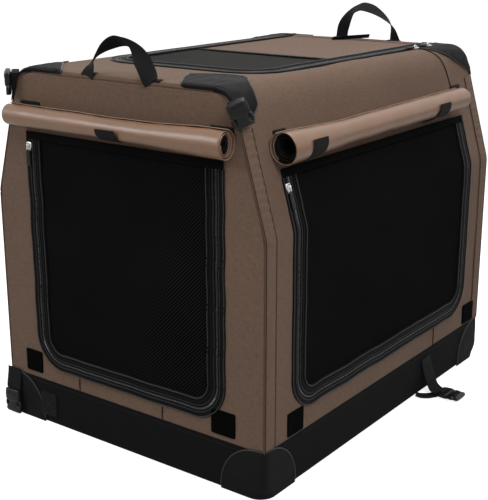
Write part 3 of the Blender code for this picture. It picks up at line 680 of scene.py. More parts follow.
def cushion_sheet(name, u0, u1, v0, v1, place, base, rise, finish, corner=0.003, edge=0.002):
    """Flat sewn-on piece: it stands at its height in the middle and rounds down at its edge."""
    outer = rounded(u0, u1, v0, v1, [corner] * 4, 6, 10)
    centre = np.array([(u0 + u1) / 2, (v0 + v1) / 2])
    edge = edge / min((u1 - u0) / 2, (v1 - v0) / 2)
    shares = np.concatenate([[0.0], np.linspace(0.08, 1 - edge, 6), [1 - 0.4 * edge, 1, 1]])
    lifts = np.array([1.0] * 7 + [0.85, 0.45, -0.6]) * rise
    grid = centre + (outer - centre)[None] * shares[:, None, None]
    points = place(grid[..., 0], grid[..., 1], base + lifts[:, None])
    return surface(name, points, finish, grid, (False, True))


def smoothed(keys, count, window):
    """Even steps along a few given keys, rounded by a Hann window that keeps the ends."""
    keys = np.asarray(keys, float)
    line = sampled(keys, np.linspace(0, len(keys) - 1, count), np.arange(len(keys)))
    kernel = np.hanning(window + 2)[1:-1]
    line = np.pad(line, ((window // 2, window // 2), (0, 0)), mode="reflect", reflect_type="odd")
    return np.stack([np.convolve(column, kernel / kernel.sum(), "valid") for column in line.T], -1)


# ---- cloth shell


def cloth_lift(u, v, seed, fall):
    """Height of tight cloth off its flat: shallow hollows between edges and faint slack waves."""
    waves = 0.0007 * ripple(u, v, 0.16, seed) + 0.0003 * ripple(u, v, 0.045, seed + 1)
    return arch(RING_ROWS) * (fall + waves)


def puckers(distance, along, seed, strength=0.0006):
    """Short waves square to a seam that die out a finger's width from it."""
    waves = np.sin(TAU * along / 0.0135 + 1.6 * ripple(along, 0, 0.06, seed))
    distance = np.abs(distance)
    return strength * np.exp(-distance / 0.012) * waves * (1 - np.exp(-distance / 0.002))


def long_walls():
    """Brown cloth of the long walls: a ring between the door's edge and the wall's edge."""
    half, low, top, _, _ = FACES["right"]
    outer = rounded(-HALF_L, HALF_L, 0.0, EDGE_RUN, [0.001] * 4, 2, 40)
    grid, area = ring((-half, half, low, top), DOOR_CORNER, outer)
    u, v = grid[..., 0], grid[..., 1]
    for hand, seed in (("left", 11), ("right", 23)):
        *_, place, out = FACES[hand]
        lift = cloth_lift(u, v, seed, -0.0009)
        lift = lift + puckers(HALF_L - np.abs(u), v, seed + 5) * ease((v - 0.02) / 0.05)
        cloth(f"wall_cloth_{hand}", place(u, v, lift - 0.0002), "brown", grid, out, CLOTH, "crate",
              f"side_wall_{hand}", inner="seam", wrap=True, rests=["hoop_front", "hoop_rear", "base_tray"],
              flat=(2 * HALF_L, EDGE_RUN), area=area)


def end_shape(inset):
    """Outline of an end panel: straight sides, knees, slopes and rounded top corners."""
    x, z, turn = on_section(np.concatenate([np.linspace(0, RUN[1], 24)[:-1], RUN[1:-1]]))
    right = stacked(x - inset * np.cos(turn), z - inset * np.sin(turn))
    right[0, 1] = WALL_LOW
    x, z = right.T
    top, bottom = (np.linspace(start, -start, 40)[1:-1] for start in (x[-1], -x[0]))
    return np.concatenate([right, stacked(top, z[-1]), (right * [-1, 1])[::-1], stacked(bottom, WALL_LOW)])


def end_walls():
    """Brown cloth of the ends, a ring between the door's edge and the shell's section."""
    grid, area = ring((-FRONT_HALF, FRONT_HALF, FRONT_LOW, FRONT_TOP), DOOR_CORNER, end_shape(0.0022))
    u, v = grid[..., 0], grid[..., 1]
    for end, seed in (("front", 31), ("rear", 47)):
        *_, place, out = FACES[end]
        slack = ripple(u * 3.2, v * 0.6, 0.1, seed + 2) * ease((v - 0.54) / 0.03) * (RING_ROWS < 1)
        lift = cloth_lift(u, v, seed, -0.0008) + 0.0004 * slack - end_drop(v)
        cloth(f"end_cloth_{end}", place(u, v, lift - 0.0001), "brown", grid, out, CLOTH, f"{end}_end",
              f"{end}_panel", inner="seam", wrap=True, rests=[f"hoop_{end}"],
              flat=(2 * HALF_W, HEIGHT - WALL_LOW), area=area)


def end_drop(z, depth=0.0042):
    """How far an end panel bends in at its top edge."""
    return depth * ease((z - 0.636) / 0.014) ** 2


def roof_cloth():
    """Brown roof: a ring between the hatch's edge and the shell's edges, rolled down at the ends."""
    outer = rounded(-EDGE_X, EDGE_X, -HALF_L, HALF_L, [0.001] * 4, 2, 40)
    grid, area = ring((-HATCH_HALF, HATCH_HALF, HATCH_FRONT, HATCH_REAR), HATCH_CORNER, outer)
    u, v = grid[..., 0], grid[..., 1]
    end = HALF_L - np.abs(v)
    lift = cloth_lift(u, v, 61, -0.0006) - bent_down(end)
    lift = lift + 0.0005 * ripple(u * 0.5, v * 3.0, 0.09, 64) * ease((0.05 - end) / 0.05)
    cloth("roof_cloth", on_roof(u, v, lift), "brown", grid[..., ::-1], (0, 0, 1), CLOTH, "crate", "roof_panel",
          inner="seam", wrap=True, rests=["hoop_front", "hoop_rear"], flat=(2 * EDGE_X, 2 * HALF_L), area=area)


def hatch_panel():
    """Roof hatch: brown cloth behind, mesh in front, black binding round the mesh."""
    half, front, rear = HATCH_HALF - 0.0006, HATCH_FRONT + 0.0006, HATCH_REAR
    u, v = leaf_grid(half, front, rear, HATCH_CORNER, 70, 110)
    share = from_edge(u, v, half, front, rear)
    lift = -0.0018 * ease(share * 2.2) + 0.0006 * ripple(u, v, 0.15, 71) * ease(share * 5)
    split = int(np.searchsorted(v[:, 0], HATCH_MESH_REAR))
    whole = on_roof(u, v, lift - 0.0004)
    uv = stacked(u, v)
    up = (0, 0, 1)
    cloth("hatch_mesh", whole[: split + 1], "roof_mesh", uv[: split + 1], up, NET, "hatch", "roof_hatch_mesh",
          rests=["roof_panel"], flat=(2 * half, HATCH_MESH_REAR - front))
    cloth("hatch_cloth", whole[split:] + [0, 0, 0.0004], "brown", uv[split:, :, ::-1], up, CLOTH, "hatch",
          "roof_hatch", inner="seam", rests=["roof_panel"], flat=(2 * half, rear - HATCH_MESH_REAR))

    path = edge_path(HATCH_HALF, HATCH_FRONT, HATCH_REAR - 0.004, HATCH_CORNER)
    zip_band("roof", path, on_roof, "crate", "hatch", 0.75)
    line = np.linspace(-half + 0.018, half - 0.018, 60)
    bar = on_roof(line, HATCH_MESH_REAR, 0.0002)
    belongs(band("hatch_cross_binding", bar, (0, 1, 0), 0.013, 0.0016, "binding"), "hatch")
    hem = on_roof(line * 1.02, HATCH_REAR - 0.001, 0.0002)
    belongs(band("hatch_hinge_seam", hem, (0, 1, 0), 0.005, 0.0018, "seam"), "hatch")


# Profiles of (inwards from the opening's edge, height off the cloth)
OUTER_TAPE = mm((-15.2, -0.6), (-15, 0.9), (-13.8, 1.8), (-12.4, 1.7), (-11.2, 1), (-7.4, 1), (-6.2, 1.9),
                (-5, 2), (-3.8, 1.1), (-1.6, 1), (-1.4, -0.1), (0.1, -0.1), (0.1, -0.6))
INNER_TAPE = mm((0.3, -0.6), (0.3, -0.1), (1.8, -0.1), (2, 0.8), (4.4, 0.9), (5.6, 1.8), (6.8, 1.8), (8, 1),
                (10, 1), (11.2, 1.9), (12.4, 1.9), (13.6, 1), (15.6, 1.1), (16.8, 2.7), (18, 3.1), (19.2, 2.4),
                (20, 0.8), (20, -0.6))
COVER_BINDING = mm((-1.2, 2.6), (-1.2, 4.6), (1, 5.8), (8, 5.8), (9.2, 4.8), (9.2, 3.6))


def zip_band(name, path, place, outer_body, leaf_body, narrow=1.0):
    """Zip round an opening: two taped bands with piping on their ridges and a coil between them.

    Each row of the coil swells with the cosine of its run, half a tooth apart from the other.
    The whole band wanders by a millimetre as a sum of sine waves along its run.
    """
    points, normals, run = path
    wander = 0.001 * ripple(run, 0, 0.08, len(name)) * ease(run / 0.05) * ease((run[-1] - run) / 0.05)
    points = points + normals * wander[:, None]
    path = (points, normals, run)
    belongs(trim(f"{name}_zip_outer_tape", path, OUTER_TAPE * [narrow, 1], place, "binding"), outer_body)
    for line, inwards, height, radius, body in (
        ("edge", -0.0134 * narrow, 0.0019, 0.0009, outer_body),
        ("middle", -0.0052 * narrow, 0.002, 0.0006, outer_body),
        ("inner", 0.006, 0.0018, 0.0005, leaf_body),
        ("net", 0.0183, 0.003, 0.001, leaf_body),
    ):
        centre = place(*(points + normals * inwards).T, height)
        belongs(tube(f"{name}_piping_{line}", centre, radius, "piping", 6), body)
    belongs(trim(f"{name}_zip_inner_tape", path, INNER_TAPE, place, "tape"), leaf_body)
    teeth = int(run[-1] / 0.003)
    at = np.linspace(0, run[-1], teeth * 4 + 1)
    points, normals = sampled(points, at, run), unit(sampled(normals, at, run))
    phase = np.linspace(0, teeth * TAU, teeth * 4 + 1)
    for row, inwards, turn, body in (("outer", -0.0006, 0.0, outer_body), ("inner", 0.001, math.pi, leaf_body)):
        swell = np.cos(phase + turn)
        centre = place(*(points + normals * (inwards + 0.0003 * swell)[:, None]).T, 0.0012)
        belongs(tube(f"{name}_zip_coil_{row}", centre, 0.00085 + 0.00035 * swell, "coil", 6), body)


def doors_and_windows():
    """Mesh leaves with their zips in the front, the right side, the left side and the rear."""
    edge = 0.0022
    for seed, (name, face, wall, leaf) in enumerate((
        ("front_door", "front", "front_end", "front_door"), ("side_door", "right", "crate", "side_door"),
        ("left_window", "left", "crate", "crate"), ("rear_window", "rear", "rear_end", "rear_end"),
    )):
        half, below, above, place, out = FACES[face]
        u, v = leaf_grid(half - edge, below + edge, above - 0.001, DOOR_CORNER - edge, 70, 60)
        share = from_edge(u, v, half, below, above)
        lift = -0.0022 * ease(share * 2.4) + 0.0008 * ripple(u, v, 0.17, 90 + seed) * ease(share * 4)
        cloth(f"{name}_net", place(u, v, lift - 0.0004), "mesh", stacked(u, v), out, NET, leaf, name,
              rests=[name], flat=(2 * half, above - below))
        path = edge_path(half, below, above - 0.001, DOOR_CORNER)
        zip_band(name, path, place, wall, leaf)
        across, up = np.linspace(-half - 0.014, half + 0.014, 90), np.linspace(above - 0.0007, above + HEADER, 8)
        u, v = np.meshgrid(across, up)
        points = place(u, v, 0.0016 + 0.0003 * ripple(u, v, 0.08, 7))
        cloth(f"{name}_header", points, "mesh", stacked(u, v), out, THIN_CLOTH, wall)


def window_covers():
    """Brown flaps zipped shut over the left and rear windows, with a bound edge."""
    for face, seed in (("left", 121), ("rear", 133)):
        half, below, above, place, out = FACES[face]
        wide, foot, head = half + COVER_OVERLAP, below - COVER_OVERLAP, above + COVER_OVERLAP
        corner = DOOR_CORNER + COVER_OVERLAP
        u, v = leaf_grid(wide, foot, head, corner, 80, 70)
        share = from_edge(u, v, wide, foot, head)
        lift = 0.0045 + 0.0012 * ease(share * 3) + 0.0007 * ripple(u, v, 0.15, seed) * ease(share * 6)
        body, node = f"{face}_cover", f"{face}_window_cover"
        cloth(f"{body}_cloth", place(u, v, lift), "brown", stacked(u, v), out, CLOTH, body, node, inner="lining",
              rests=[node], flat=(2 * wide, head - foot))
        path = edge_path(wide, foot, head - 0.001, corner)
        belongs(trim(f"{body}_binding", path, COVER_BINDING, place, "binding"), body)


# ---- rolled covers


def settled(away, rise, radius, slack):
    """A roll's section pressed flatter by a share, with its side at the wall held in place."""
    return away * (1 - 0.35 * slack) + 0.35 * slack * radius, rise * (1 - slack) - 0.006 * slack


def rolled_cover(name, radius, foot, wall, up, along, span, pinches, flat, raised, turns, hollow):
    """Cover rolled up above its door.

    A spiral whose radius falls evenly with the turn, carried along the door, drawn in at each
    strap, with its layers stepped at the ends. A smooth step presses it flatter by a share away
    from its open end, and it is raised evenly from one end to the other.
    """
    centre = foot - wall * (radius - ROLL_PITCH * ROLL_START / TAU + 0.0004)
    place = framed(centre, wall, up, along)
    turn = np.linspace(0, TAU * turns, 260)[:, None]
    depth = np.linspace(*span, 150)[None]
    share = (depth - span[0]) / (span[1] - span[0])
    r = radius - 0.0002 - ROLL_PITCH * turn / TAU
    pinch = sum(np.exp(-(((depth - d) / 0.03) ** 2)) for d in pinches)
    loose = 1 - 0.03 * pinch + 0.016 * np.sin(TAU * share * 1.5 + 0.8) + 0.006 * ripple(depth, 0, 0.11, 5)
    angle = ROLL_START - turn
    oval = 1 - hollow * ease(turn / TAU)
    away = r * np.minimum(loose, 1.004) * np.cos(angle) * oval
    rise = r * loose * np.sin(angle) * (1.02 - 0.02 * oval)
    away, rise = settled(away, rise, radius, flat[0] * ease((depth - flat[1]) / (flat[2] - flat[1])))
    rise = rise + mix(*raised, share)
    step = 0.0055 * (turn / turn.max()) * (2 * share - 1) + 0.0012 * np.sin(angle * 1.3)
    points = place(away, rise, depth - step)
    wave = 0.0005 * ripple(depth, turn * 0.008, 0.07, 9)
    points = points + (points - place(0, 0, depth - step)) / r[..., None] * wave[..., None]
    roll = surface(f"{name}_roll", points, "lining", stacked(turn * r, depth))
    # Slot 1 is brown for the lining's back. Slots 2 and 3 are black for the innermost turns and their backs:
    # painted shade for the dark hollow in the roll's middle
    for finish in ("brown", "black", "black"):
        roll.data.materials.append(MATS[finish])
    inside = np.repeat(turn[:-1, 0] > TAU * (turns - 2.28), points.shape[1] - 1)
    roll.data.polygons.foreach_set("material_index", np.where(inside, 2, 0).astype(np.int32))
    thicken(roll, 0.0015)
    roll.modifiers["thickness"].material_offset = 1
    return roll, place


def roll_strap(name, radius, place, where, slack, raised):
    """Strap from the outermost line of a roll, down round it and back to the cloth."""
    turn = np.radians(np.linspace(-184, -78, 30))
    near = radius - ROLL_PITCH * (ROLL_START - turn) / TAU + 0.0016
    near = near * (0.985 - 0.02 * np.sin(turn * 2))
    u, v = settled(near * np.cos(turn), near * np.sin(turn), radius, slack)
    end = np.linspace(0, 1, 8)[1:]
    u = np.concatenate([u, mix(u[-1], radius - 0.004, end)])
    v = np.concatenate([v, mix(v[-1], v[-1] - 0.004, end**2)])
    along = place(0.0, 0.0, 1.0) - place(0.0, 0.0, 0.0)
    return band(name, place(u, v + raised, where), along, 0.042, 0.0013, "webbing")


def rolled_covers():
    """The rolls above the front and side doors, each with its straps.

    A strap is given as its piece, its solid, its place along the roll, the share by which the
    roll is pressed flatter there, and how far it is raised.
    """
    x, y, z = np.eye(3)
    for name, body, radius, foot, axes, span, straps, *form, flat in (
        ("front", "front_end", 0.024, (0, -HALF_L, 0.567), (y, z, x), (-0.229, 0.236),
         (("front_strap", "front_roll_strap", 0.012, 0.2, 0.0075),),
         (0.2, 0.225, 0.07), (0.0085, 0.0065), 5.0, 0.26, (0.465, 0.42)),
        ("side", "crate", 0.027, (sloped(0.553), 0, 0.553), (-OFF_SLOPE, -DOWN_SLOPE, y), (-0.328, 0.278),
         (("side_strap_1", "side_roll_strap_1", -0.262, 0.06, 0.0012),
          ("side_strap_2", "side_roll_strap_2", 0.165, 0.19, 0.0024)),
         (0.19, -0.322, -0.15), (0.0, 0.005), 3.6, 0.07, (0.606, 0.41)),
    ):
        _, solids, places, _, _ = zip(*straps)
        roll, place = rolled_cover(name, radius, np.array(foot), *axes, span, places, *form)
        belongs(roll, body, f"{name}_cover_roll")
        for piece, solid_name, *strap in straps:
            belongs(roll_strap(piece, radius, place, *strap), body, solid_name)


def sloped(z):
    """Half width of the crate at a height on its sloping wall."""
    return HALF_W - (z - KNEE_HEIGHT) * math.tan(SLOPE)


# ---- base


def corner_radius(z):
    """Plan radius of the tray's corners: small at the hem, wider where the cloth turns under."""
    return TRAY_CORNER + 0.018 * (1 - ease(np.asarray(z) / 0.03))


def base_loop(grow, z=0.05):
    radii = [max(float(corner_radius(z)) + grow, 0.0015)] * 4
    return rounded(-HALF_W - grow, HALF_W + grow, -HALF_L - grow, HALF_L + grow, radii, 16, 60)


def base_tray():
    """Black woven base: one closed profile of a hemmed wall and floor edge carried round it."""
    profile = mm((-40, 3), (-6, 3), (-2.7, 5.2), (-2.5, 80), (-2.2, 84.6), (-0.8, 85.8), (0.6, 85.2), (1.1, 83),
                 (0.6, 80), (0.2, 77), (0.4, 60), (0.6, 40), (0.5, 26), (0.4, 17), (0.1, 10), (-0.6, 5),
                 (-2.2, 1.4), (-5.5, 0), (-40, 0))
    loop = base_loop(0.0)
    ahead = np.roll(loop, -1, 0) - np.roll(loop, 1, 0)
    normal = unit(stacked(ahead[:, 1], -ahead[:, 0]))
    plan = np.stack([base_loop(grow, z) for grow, z in profile], 1)
    run = length_along(loop)
    wave = 0.0007 * ripple(run, 0, 0.12, 17) + 0.0004 * ripple(run, 0, 0.035, 18)
    bulge = arch(np.clip(profile[:, 1] / BAND_HEIGHT, 0, 1)) * (profile[:, 0] > -0.001)
    plan = plan + normal[:, None] * (wave[:, None] * bulge[None])[..., None]
    uv = stacked(run[:, None], length_along(profile))
    tray = solid("base_tray_cloth", stacked(*np.moveaxis(plan, -1, 0), profile[:, 1]), "black", uv, loop=True)
    belongs(tray, "base", "base_tray")

    x, y = HALF_W - 0.038, HALF_L - 0.038
    u, v = np.meshgrid(np.linspace(-x, x, 40), np.linspace(-y, y, 50))
    points = stacked(u, v, 0.0029 - 0.0002 * (1 + ripple(u, v, 0.2, 3)))
    cloth("base_floor", points, "black", stacked(u, v), (0, 0, 1), FLOOR_CLOTH, "base")

    line = np.concatenate([base_loop(0.0012), base_loop(0.0012)[:1]])
    seam, out = stacked(*line.T, 0.0785), stacked(*unit(line).T, 0.0)
    belongs(stitches("base_hem_stitches", seam, out, "dark_thread"), "base")


def corner_points(z, lift, reach_along=0.085, count=44):
    """Points round a tray corner at given heights: along the side, round the arc, along the end.

    z has one column for each of the 2 count + 12 places, and the arc's radius follows it.
    """
    r = corner_radius(z)
    share, turn = np.linspace(0, 1, count), np.linspace(0, math.pi / 2, 14)[1:]
    one, two, three = r[:, :count], r[:, count:count + 13], r[:, count + 13:]
    x = [HALF_W + 0 * one, HALF_W - two + two * np.cos(turn),
         HALF_W - three - (reach_along - three) * share[1:]]
    y = [HALF_L - reach_along + (reach_along - one) * share, HALF_L - two + two * np.sin(turn),
         HALF_L + 0 * three]
    angle = np.concatenate([np.zeros(count), turn, np.full(count - 1, math.pi / 2)])
    x, y = (np.concatenate(part, 1) for part in (x, y))
    return x + lift * np.cos(angle), y + lift * np.sin(angle), angle


def base_patches():
    """Round-topped patches sewn over the tray's corners, with piping on their arch.

    The arch's height falls with the 2.3rd power of the distance from the corner.
    """
    x, y, _ = corner_points(np.full((1, 100), 0.05), 0.0)
    run = length_along(stacked(x[0], y[0]))
    share = 2 * run / run[-1] - 1
    top = 0.008 + (BAND_HEIGHT + 0.003 - 0.008) * np.sqrt(np.maximum(0.0, 1 - np.abs(share) ** 2.3))
    rows = np.linspace(0, 1, 20)[:, None]
    z = 0.001 + (top - 0.001) * rows
    puff = 0.0018 * arch(rows) * (1 - share**2) + 0.0008 * ripple(run, z * 0.6, 0.032, 7) * arch(rows) ** 0.5
    x, y, angle = corner_points(z, 0.0019 + puff)
    for end, side, hand, sign in CORNERS:
        points = stacked(sign * x, side * y, z)
        out = stacked(sign * np.cos(angle), side * np.sin(angle), 0.0)
        where = f"{end}_{hand}"
        cloth(f"corner_patch_{where}", points, "patch", stacked(run, z), (sign, side, 0), PATCH_CLOTH, "base",
              f"base_patch_{where}")
        pipe = tube(f"corner_piping_{where}", points[-1] - out * 0.0003, 0.0016, "piping")
        belongs(pipe, "base")
        line = (points[-2] + out * 0.0002)[3:-3]
        belongs(stitches(f"corner_stitches_{where}", line, out[3:-3], "dark_thread"), "base")


def vertices_of(obj):
    places = np.empty(len(obj.data.vertices) * 3)
    obj.data.vertices.foreach_get("co", places)
    return places.reshape(-1, 3)


def floor_mat():
    """Padded mat: a slab swelled by a short cloth simulation, soft at its edge."""
    low, high = np.array(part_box("floor_mat"))
    inset, most = 0.003, 0.005
    quilting = (0.13, 0.18)
    centre = (high + low) / 2
    bm = bmesh.new()
    bmesh.ops.create_cube(bm, size=1.0)
    for vert in bm.verts:
        vert.co = centre + np.array(vert.co) * (high - low - 2 * inset)
    mesh = bpy.data.meshes.new("mat_pad")
    bm.to_mesh(mesh)
    bm.free()
    pad = shown("mat_pad", mesh)
    remesh = pad.modifiers.new("even_grid", "REMESH")
    remesh.mode = "VOXEL"
    remesh.voxel_size = 0.0055
    apply_modifiers(pad)
    rest = vertices_of(pad)
    swell(pad)
    shift = vertices_of(pad) - rest
    far = np.linalg.norm(shift, axis=1, keepdims=True)
    final = rest + shift * np.minimum(1.0, most / np.maximum(far, 1e-9))
    final = np.clip(final, low, high + [0, 0, 0.002])
    channel = 0.0
    for across, gap in zip(final.T, quilting):
        channel = channel + sum(np.exp(-(((across - line) / 0.006) ** 2)) for line in (-gap, 0.0, gap))
    final[:, 2] -= 0.004 * np.minimum(channel, 1.0) * ease((final[:, 2] - centre[2]) / 0.004)
    pad.data.vertices.foreach_set("co", final.ravel())
    smooth = pad.modifiers.new("smooth", "SUBSURF")
    smooth.levels = 1
    smooth.render_levels = 1
    apply_modifiers(pad)
    pad.data.shade_smooth()
    pad.data.materials.clear()
    pad.data.materials.append(MATS["mat"])
    belongs(pad, "base", "floor_mat")


def apply_modifiers(obj):
    """Turns a piece with modifiers into its plain result."""
    graph = bpy.context.evaluated_depsgraph_get()
    made = bpy.data.meshes.new_from_object(obj.evaluated_get(graph))
    obj.modifiers.clear()
    obj.data = made


def swell(pad):
    """Twenty frames of cloth under pressure, without gravity."""
    step = pad.modifiers.new("cloth", "CLOTH")
    step.settings.use_pressure = True
    step.settings.uniform_pressure_force = 4.0
    step.settings.effector_weights.gravity = 0.0
    step.point_cache.frame_start = 1
    step.point_cache.frame_end = 20
    for number in range(1, 21):
        bpy.context.scene.frame_set(number)
    apply_modifiers(pad)
    bpy.context.scene.frame_set(1)


# ---- trimmings


def top_patches():
    """Dark patches over the roof's corners, from the end face across the roof and down the side.

    One way of the grid is the length along the shell's section, measured from the roof's middle.
    The other runs back from the end's edge between two reaches, given at each such length.
    """
    side = mm((232, 0, 56), (250, 0, 53), (262, 0, 40), (270, 0, 20))
    left = mm((123, 0, 2), (160, 0, 40), (199, 0, 80), (206, 0, 102), (216, 0, 96))
    right = mm((82, 84, 89), (92, 59, 97), (112, 30, 107), (134, 0, 113), (149, 0, 115), (168, 0, 112),
               (186, 0, 98), (200, 0, 78), (216, 0, 63))
    rear = mm((172, 0, 112), (178, 0, 121), (190, 0, 124), (205, 0, 119), (222, 0, 94), (240, 0, 62),
              (256, 0, 32), (270, 0, 6))
    outlines = (np.concatenate([left, side]), np.concatenate([right, side]), rear, rear)
    rows = np.linspace(0, 1, 24)[:, None]
    kernel = np.hanning(7) / np.hanning(7).sum()
    for (end, side, hand, sign), keys in zip(CORNERS, outlines):
        d = np.linspace(keys[0, 0], keys[-1, 0], 96)
        reaches = sampled(keys[:, 1:], d, keys[:, 0]).T
        front, back = (np.convolve(np.pad(line, 3, "edge"), kernel, "valid") for line in reaches)
        v = RUN[-1] - d[None]
        reached = front + (back - front) * rows
        y = side * (HALF_L + 0.0004 * (1 - rows) - reached)
        fall = bent_down(reached) * ease((v - EDGE_RUN + 0.045) / 0.03)
        folds = 0.0009 * ripple(v * 1.6, y * 0.7, 0.03, 3) * arch(rows)
        lift = 0.0011 + folds - fall + 0.0014 * arch(rows)
        place = on_side(sign)
        points = place(y, v, lift)
        where = f"{end}_{hand}"
        cloth(f"roof_patch_{where}", points, "patch", stacked(v, y), (sign * 0.5, 0, 1), CLOTH, "crate",
              f"top_patch_{where}")
        rim = np.concatenate([points[0][front > 0.001][::-1], points[3:-1, 0], points[-1]])
        belongs(tube(f"roof_patch_rim_{where}", rim, 0.0012, "piping", 8), "crate")
        out = points[-3] - place(y, v, lift - 0.001)[-3]
        belongs(stitches(f"roof_patch_stitches_{where}", points[-2] + out * 0.3, out, "dark_thread"), "crate")


def face_corners():
    """Dark cloth that shows on the end faces outside the brown panel's rounded corners."""
    keys = mm((134, 650.6), (155, 650), (182, 649.2), (203, 647), (220, 640), (233, 628), (240.5, 612),
              (244, 596))
    along = length_along(keys)
    inner = sampled(keys, np.linspace(0, along[-1], 60), along)
    x, z, _ = on_section(np.linspace(RUN[-1] - 0.134, run_at(0.596), 60))
    outer = stacked(x, z)
    rows = np.linspace(0, 1, 8)[:, None, None]
    grid = mix(inner - [0, 0.004], outer, rows)
    for end, side, hand, sign in CORNERS:
        place, body, where = on_end(side), f"{end}_end", f"{end}_{hand}"
        points = place(sign * grid[..., 0], grid[..., 1], 0.0008 - end_drop(grid[..., 1], 0.004))
        cloth(f"face_patch_{where}", points, "patch", grid, (0, side, 0), THIN_CLOTH, body)
        seam = place(sign * x, z - 0.0026, -0.0022)
        belongs(tube(f"face_seam_{where}", seam, 0.003, "patch"), body)
        rim = place(sign * inner[:, 0], inner[:, 1] - 0.003, 0.0014 - end_drop(inner[:, 1], 0.004))
        belongs(tube(f"face_edge_{where}", rim, SEAM_LINE, "seam", 8), body)
        belongs(stitches(f"face_stitches_{where}", rim + [0, 0, -0.0035], (0, side, 0), "thread"), body)


def corner_seams():
    """Raised strip of cloth along each upright corner, with piping on the corner itself."""
    run = np.linspace(0.001, run_at(0.592), 150)[None]
    rows = np.linspace(0, 1, 10)[:, None]
    lift = 0.0004 + 0.0011 * arch(rows) ** 0.6
    lift = lift + puckers(0.008 * rows, run, 3, 0.0011) * ease((run - 0.3) / 0.1)
    for end, side, hand, sign in CORNERS:
        place, where = on_side(sign), f"{end}_{hand}"
        y = side * (HALF_L - 0.0003 - 0.0275 * rows)
        cloth(f"corner_strip_{where}", place(y, run, lift), "brown", stacked(y, run), (sign, 0, 0.2), STRIP_CLOTH,
              "crate", inner="seam")
        # The front groove line is near-black brown: painted shade of the groove
        for name, back, height, radius, finish, sides in (
            ("cord", 0.0004, -0.0002, 0.0014, "seam", 8),
            ("groove_front", 0.0014, 0.0008, SEAM_LINE, "painted_seam_shade", 6),
            ("groove_rear", 0.0285, 0.0008, SEAM_LINE, "seam", 6),
        ):
            line = place(side * (HALF_L - back), run[0], height)
            belongs(tube(f"corner_{name}_{where}", line, radius, finish, sides), "crate")


def sewn_details():
    """Hook-and-loop squares, tabs above the rolls, short seams and the cross-stitched patch."""
    z_low, z_high = run_at(0.566), run_at(0.5815)
    for name, u0, u1, v0, v1, face, rise, finish in (
        ("front_square_left", -0.247, -0.206, 0.0955, 0.137, "front", 0.0016, "hook"),
        ("front_square_right", 0.185, 0.233, 0.0945, 0.137, "front", 0.0016, "hook"),
        ("side_square_front", -0.324, -0.278, 0.003, 0.044, "right", 0.0016, "hook"),
        ("side_square_rear", 0.317, 0.365, 0.003, 0.044, "right", 0.0016, "hook"),
        ("front_tab_left", -0.222, -0.176, 0.575, 0.5955, "front", 0.0018, "webbing"),
        ("front_tab_right", 0.188, 0.232, 0.575, 0.5955, "front", 0.0018, "webbing"),
        ("side_tab_front", -0.31, -0.276, z_low, z_high, "right", 0.0018, "webbing"),
        ("side_tab_rear", 0.29, 0.33, z_low, z_high, "right", 0.0018, "webbing"),
    ):
        tab = cushion_sheet(name, u0, u1, v0, v1, FACES[face][3], 0.0002, rise, finish)
        belongs(tab, "front_end" if face == "front" else "crate")
    # The short seams are near-black brown lines: painted shade of their grooves
    for name, u, v0, v1, face, body in (
        ("front_seam_left", -0.113, 0.0856, 0.1085, "front", "front_end"),
        ("front_seam_right", 0.08, 0.0856, 0.1085, "front", "front_end"),
        ("side_seam", 0.187, 0.0004, 0.0355, "right", "crate"),
        ("rear_seam", 0.096, 0.0856, 0.096, "rear", "rear_end"),
    ):
        line = FACES[face][3](u, np.linspace(v0, v1, 12), 0.0001)
        belongs(tube(name, line, SEAM_LINE, "painted_seam_shade", 8), body)

    # The roof side seams are near-black brown lines: painted shade of their grooves
    keys = [(0.252, EDGE_RUN + 0.01), (0.262, run_at(0.65)), (0.278, run_at(0.633)), (0.288, run_at(0.611)),
            (0.294, run_at(0.577))]
    for hand, sign in HANDS:
        line = on_side(sign)(*smoothed(keys, 60, 9).T, 0.0002)
        belongs(tube(f"roof_side_seam_{hand}", line, SEAM_LINE, "painted_seam_shade", 8), "crate")
    keys = mm((-41, 316, 653), (-20, 335, 656.5), (0, 354, 658), (16, 372, 659))
    strip = band("roof_tie_strip", smoothed(keys, 40, 9), (0.48, -0.48, 0.73), 0.0115, 0.0014, "webbing")
    belongs(strip, "crate")
    for end, side in ENDS:
        rows = []
        for z, h in ((0.6405, 0.0006), (0.645, -0.0012)):
            row = on_end(side)(np.linspace(-0.196, 0.196, 60), z, h)
            rows.append(stitches(f"{end}_top_row_{z}", row, (0, side, 0.3), "thread", 0.0042, 0.0026, 0.001,
                                 0.0007))
        belongs(joined(f"{end}_top_stitches", rows), f"{end}_end")

    place = framed((0, -HALF_L - 0.0008, 0), (1, 0, 0), (0, 0, 1), (0, -1, 0))
    patch = cushion_sheet("cross_stitched_patch", -0.213, -0.173, 0.016, 0.062, place, 0.0004, 0.002, "webbing")
    belongs(patch, "base")
    rows = []
    for k, keys in enumerate((
        mm((-209, 20), (-177, 20), (-177, 58), (-209, 58), (-209, 20), (-177, 58)), mm((-209, 58), (-177, 20)),
    )):
        along = length_along(keys)
        line = sampled(keys, np.linspace(0, along[-1], 200), along)
        rows.append(stitches(f"cross_stitches_{k}", place(*line.T, 0.0024), (0, -1, 0), "dark_thread"))
    belongs(joined("cross_stitches", rows), "base")


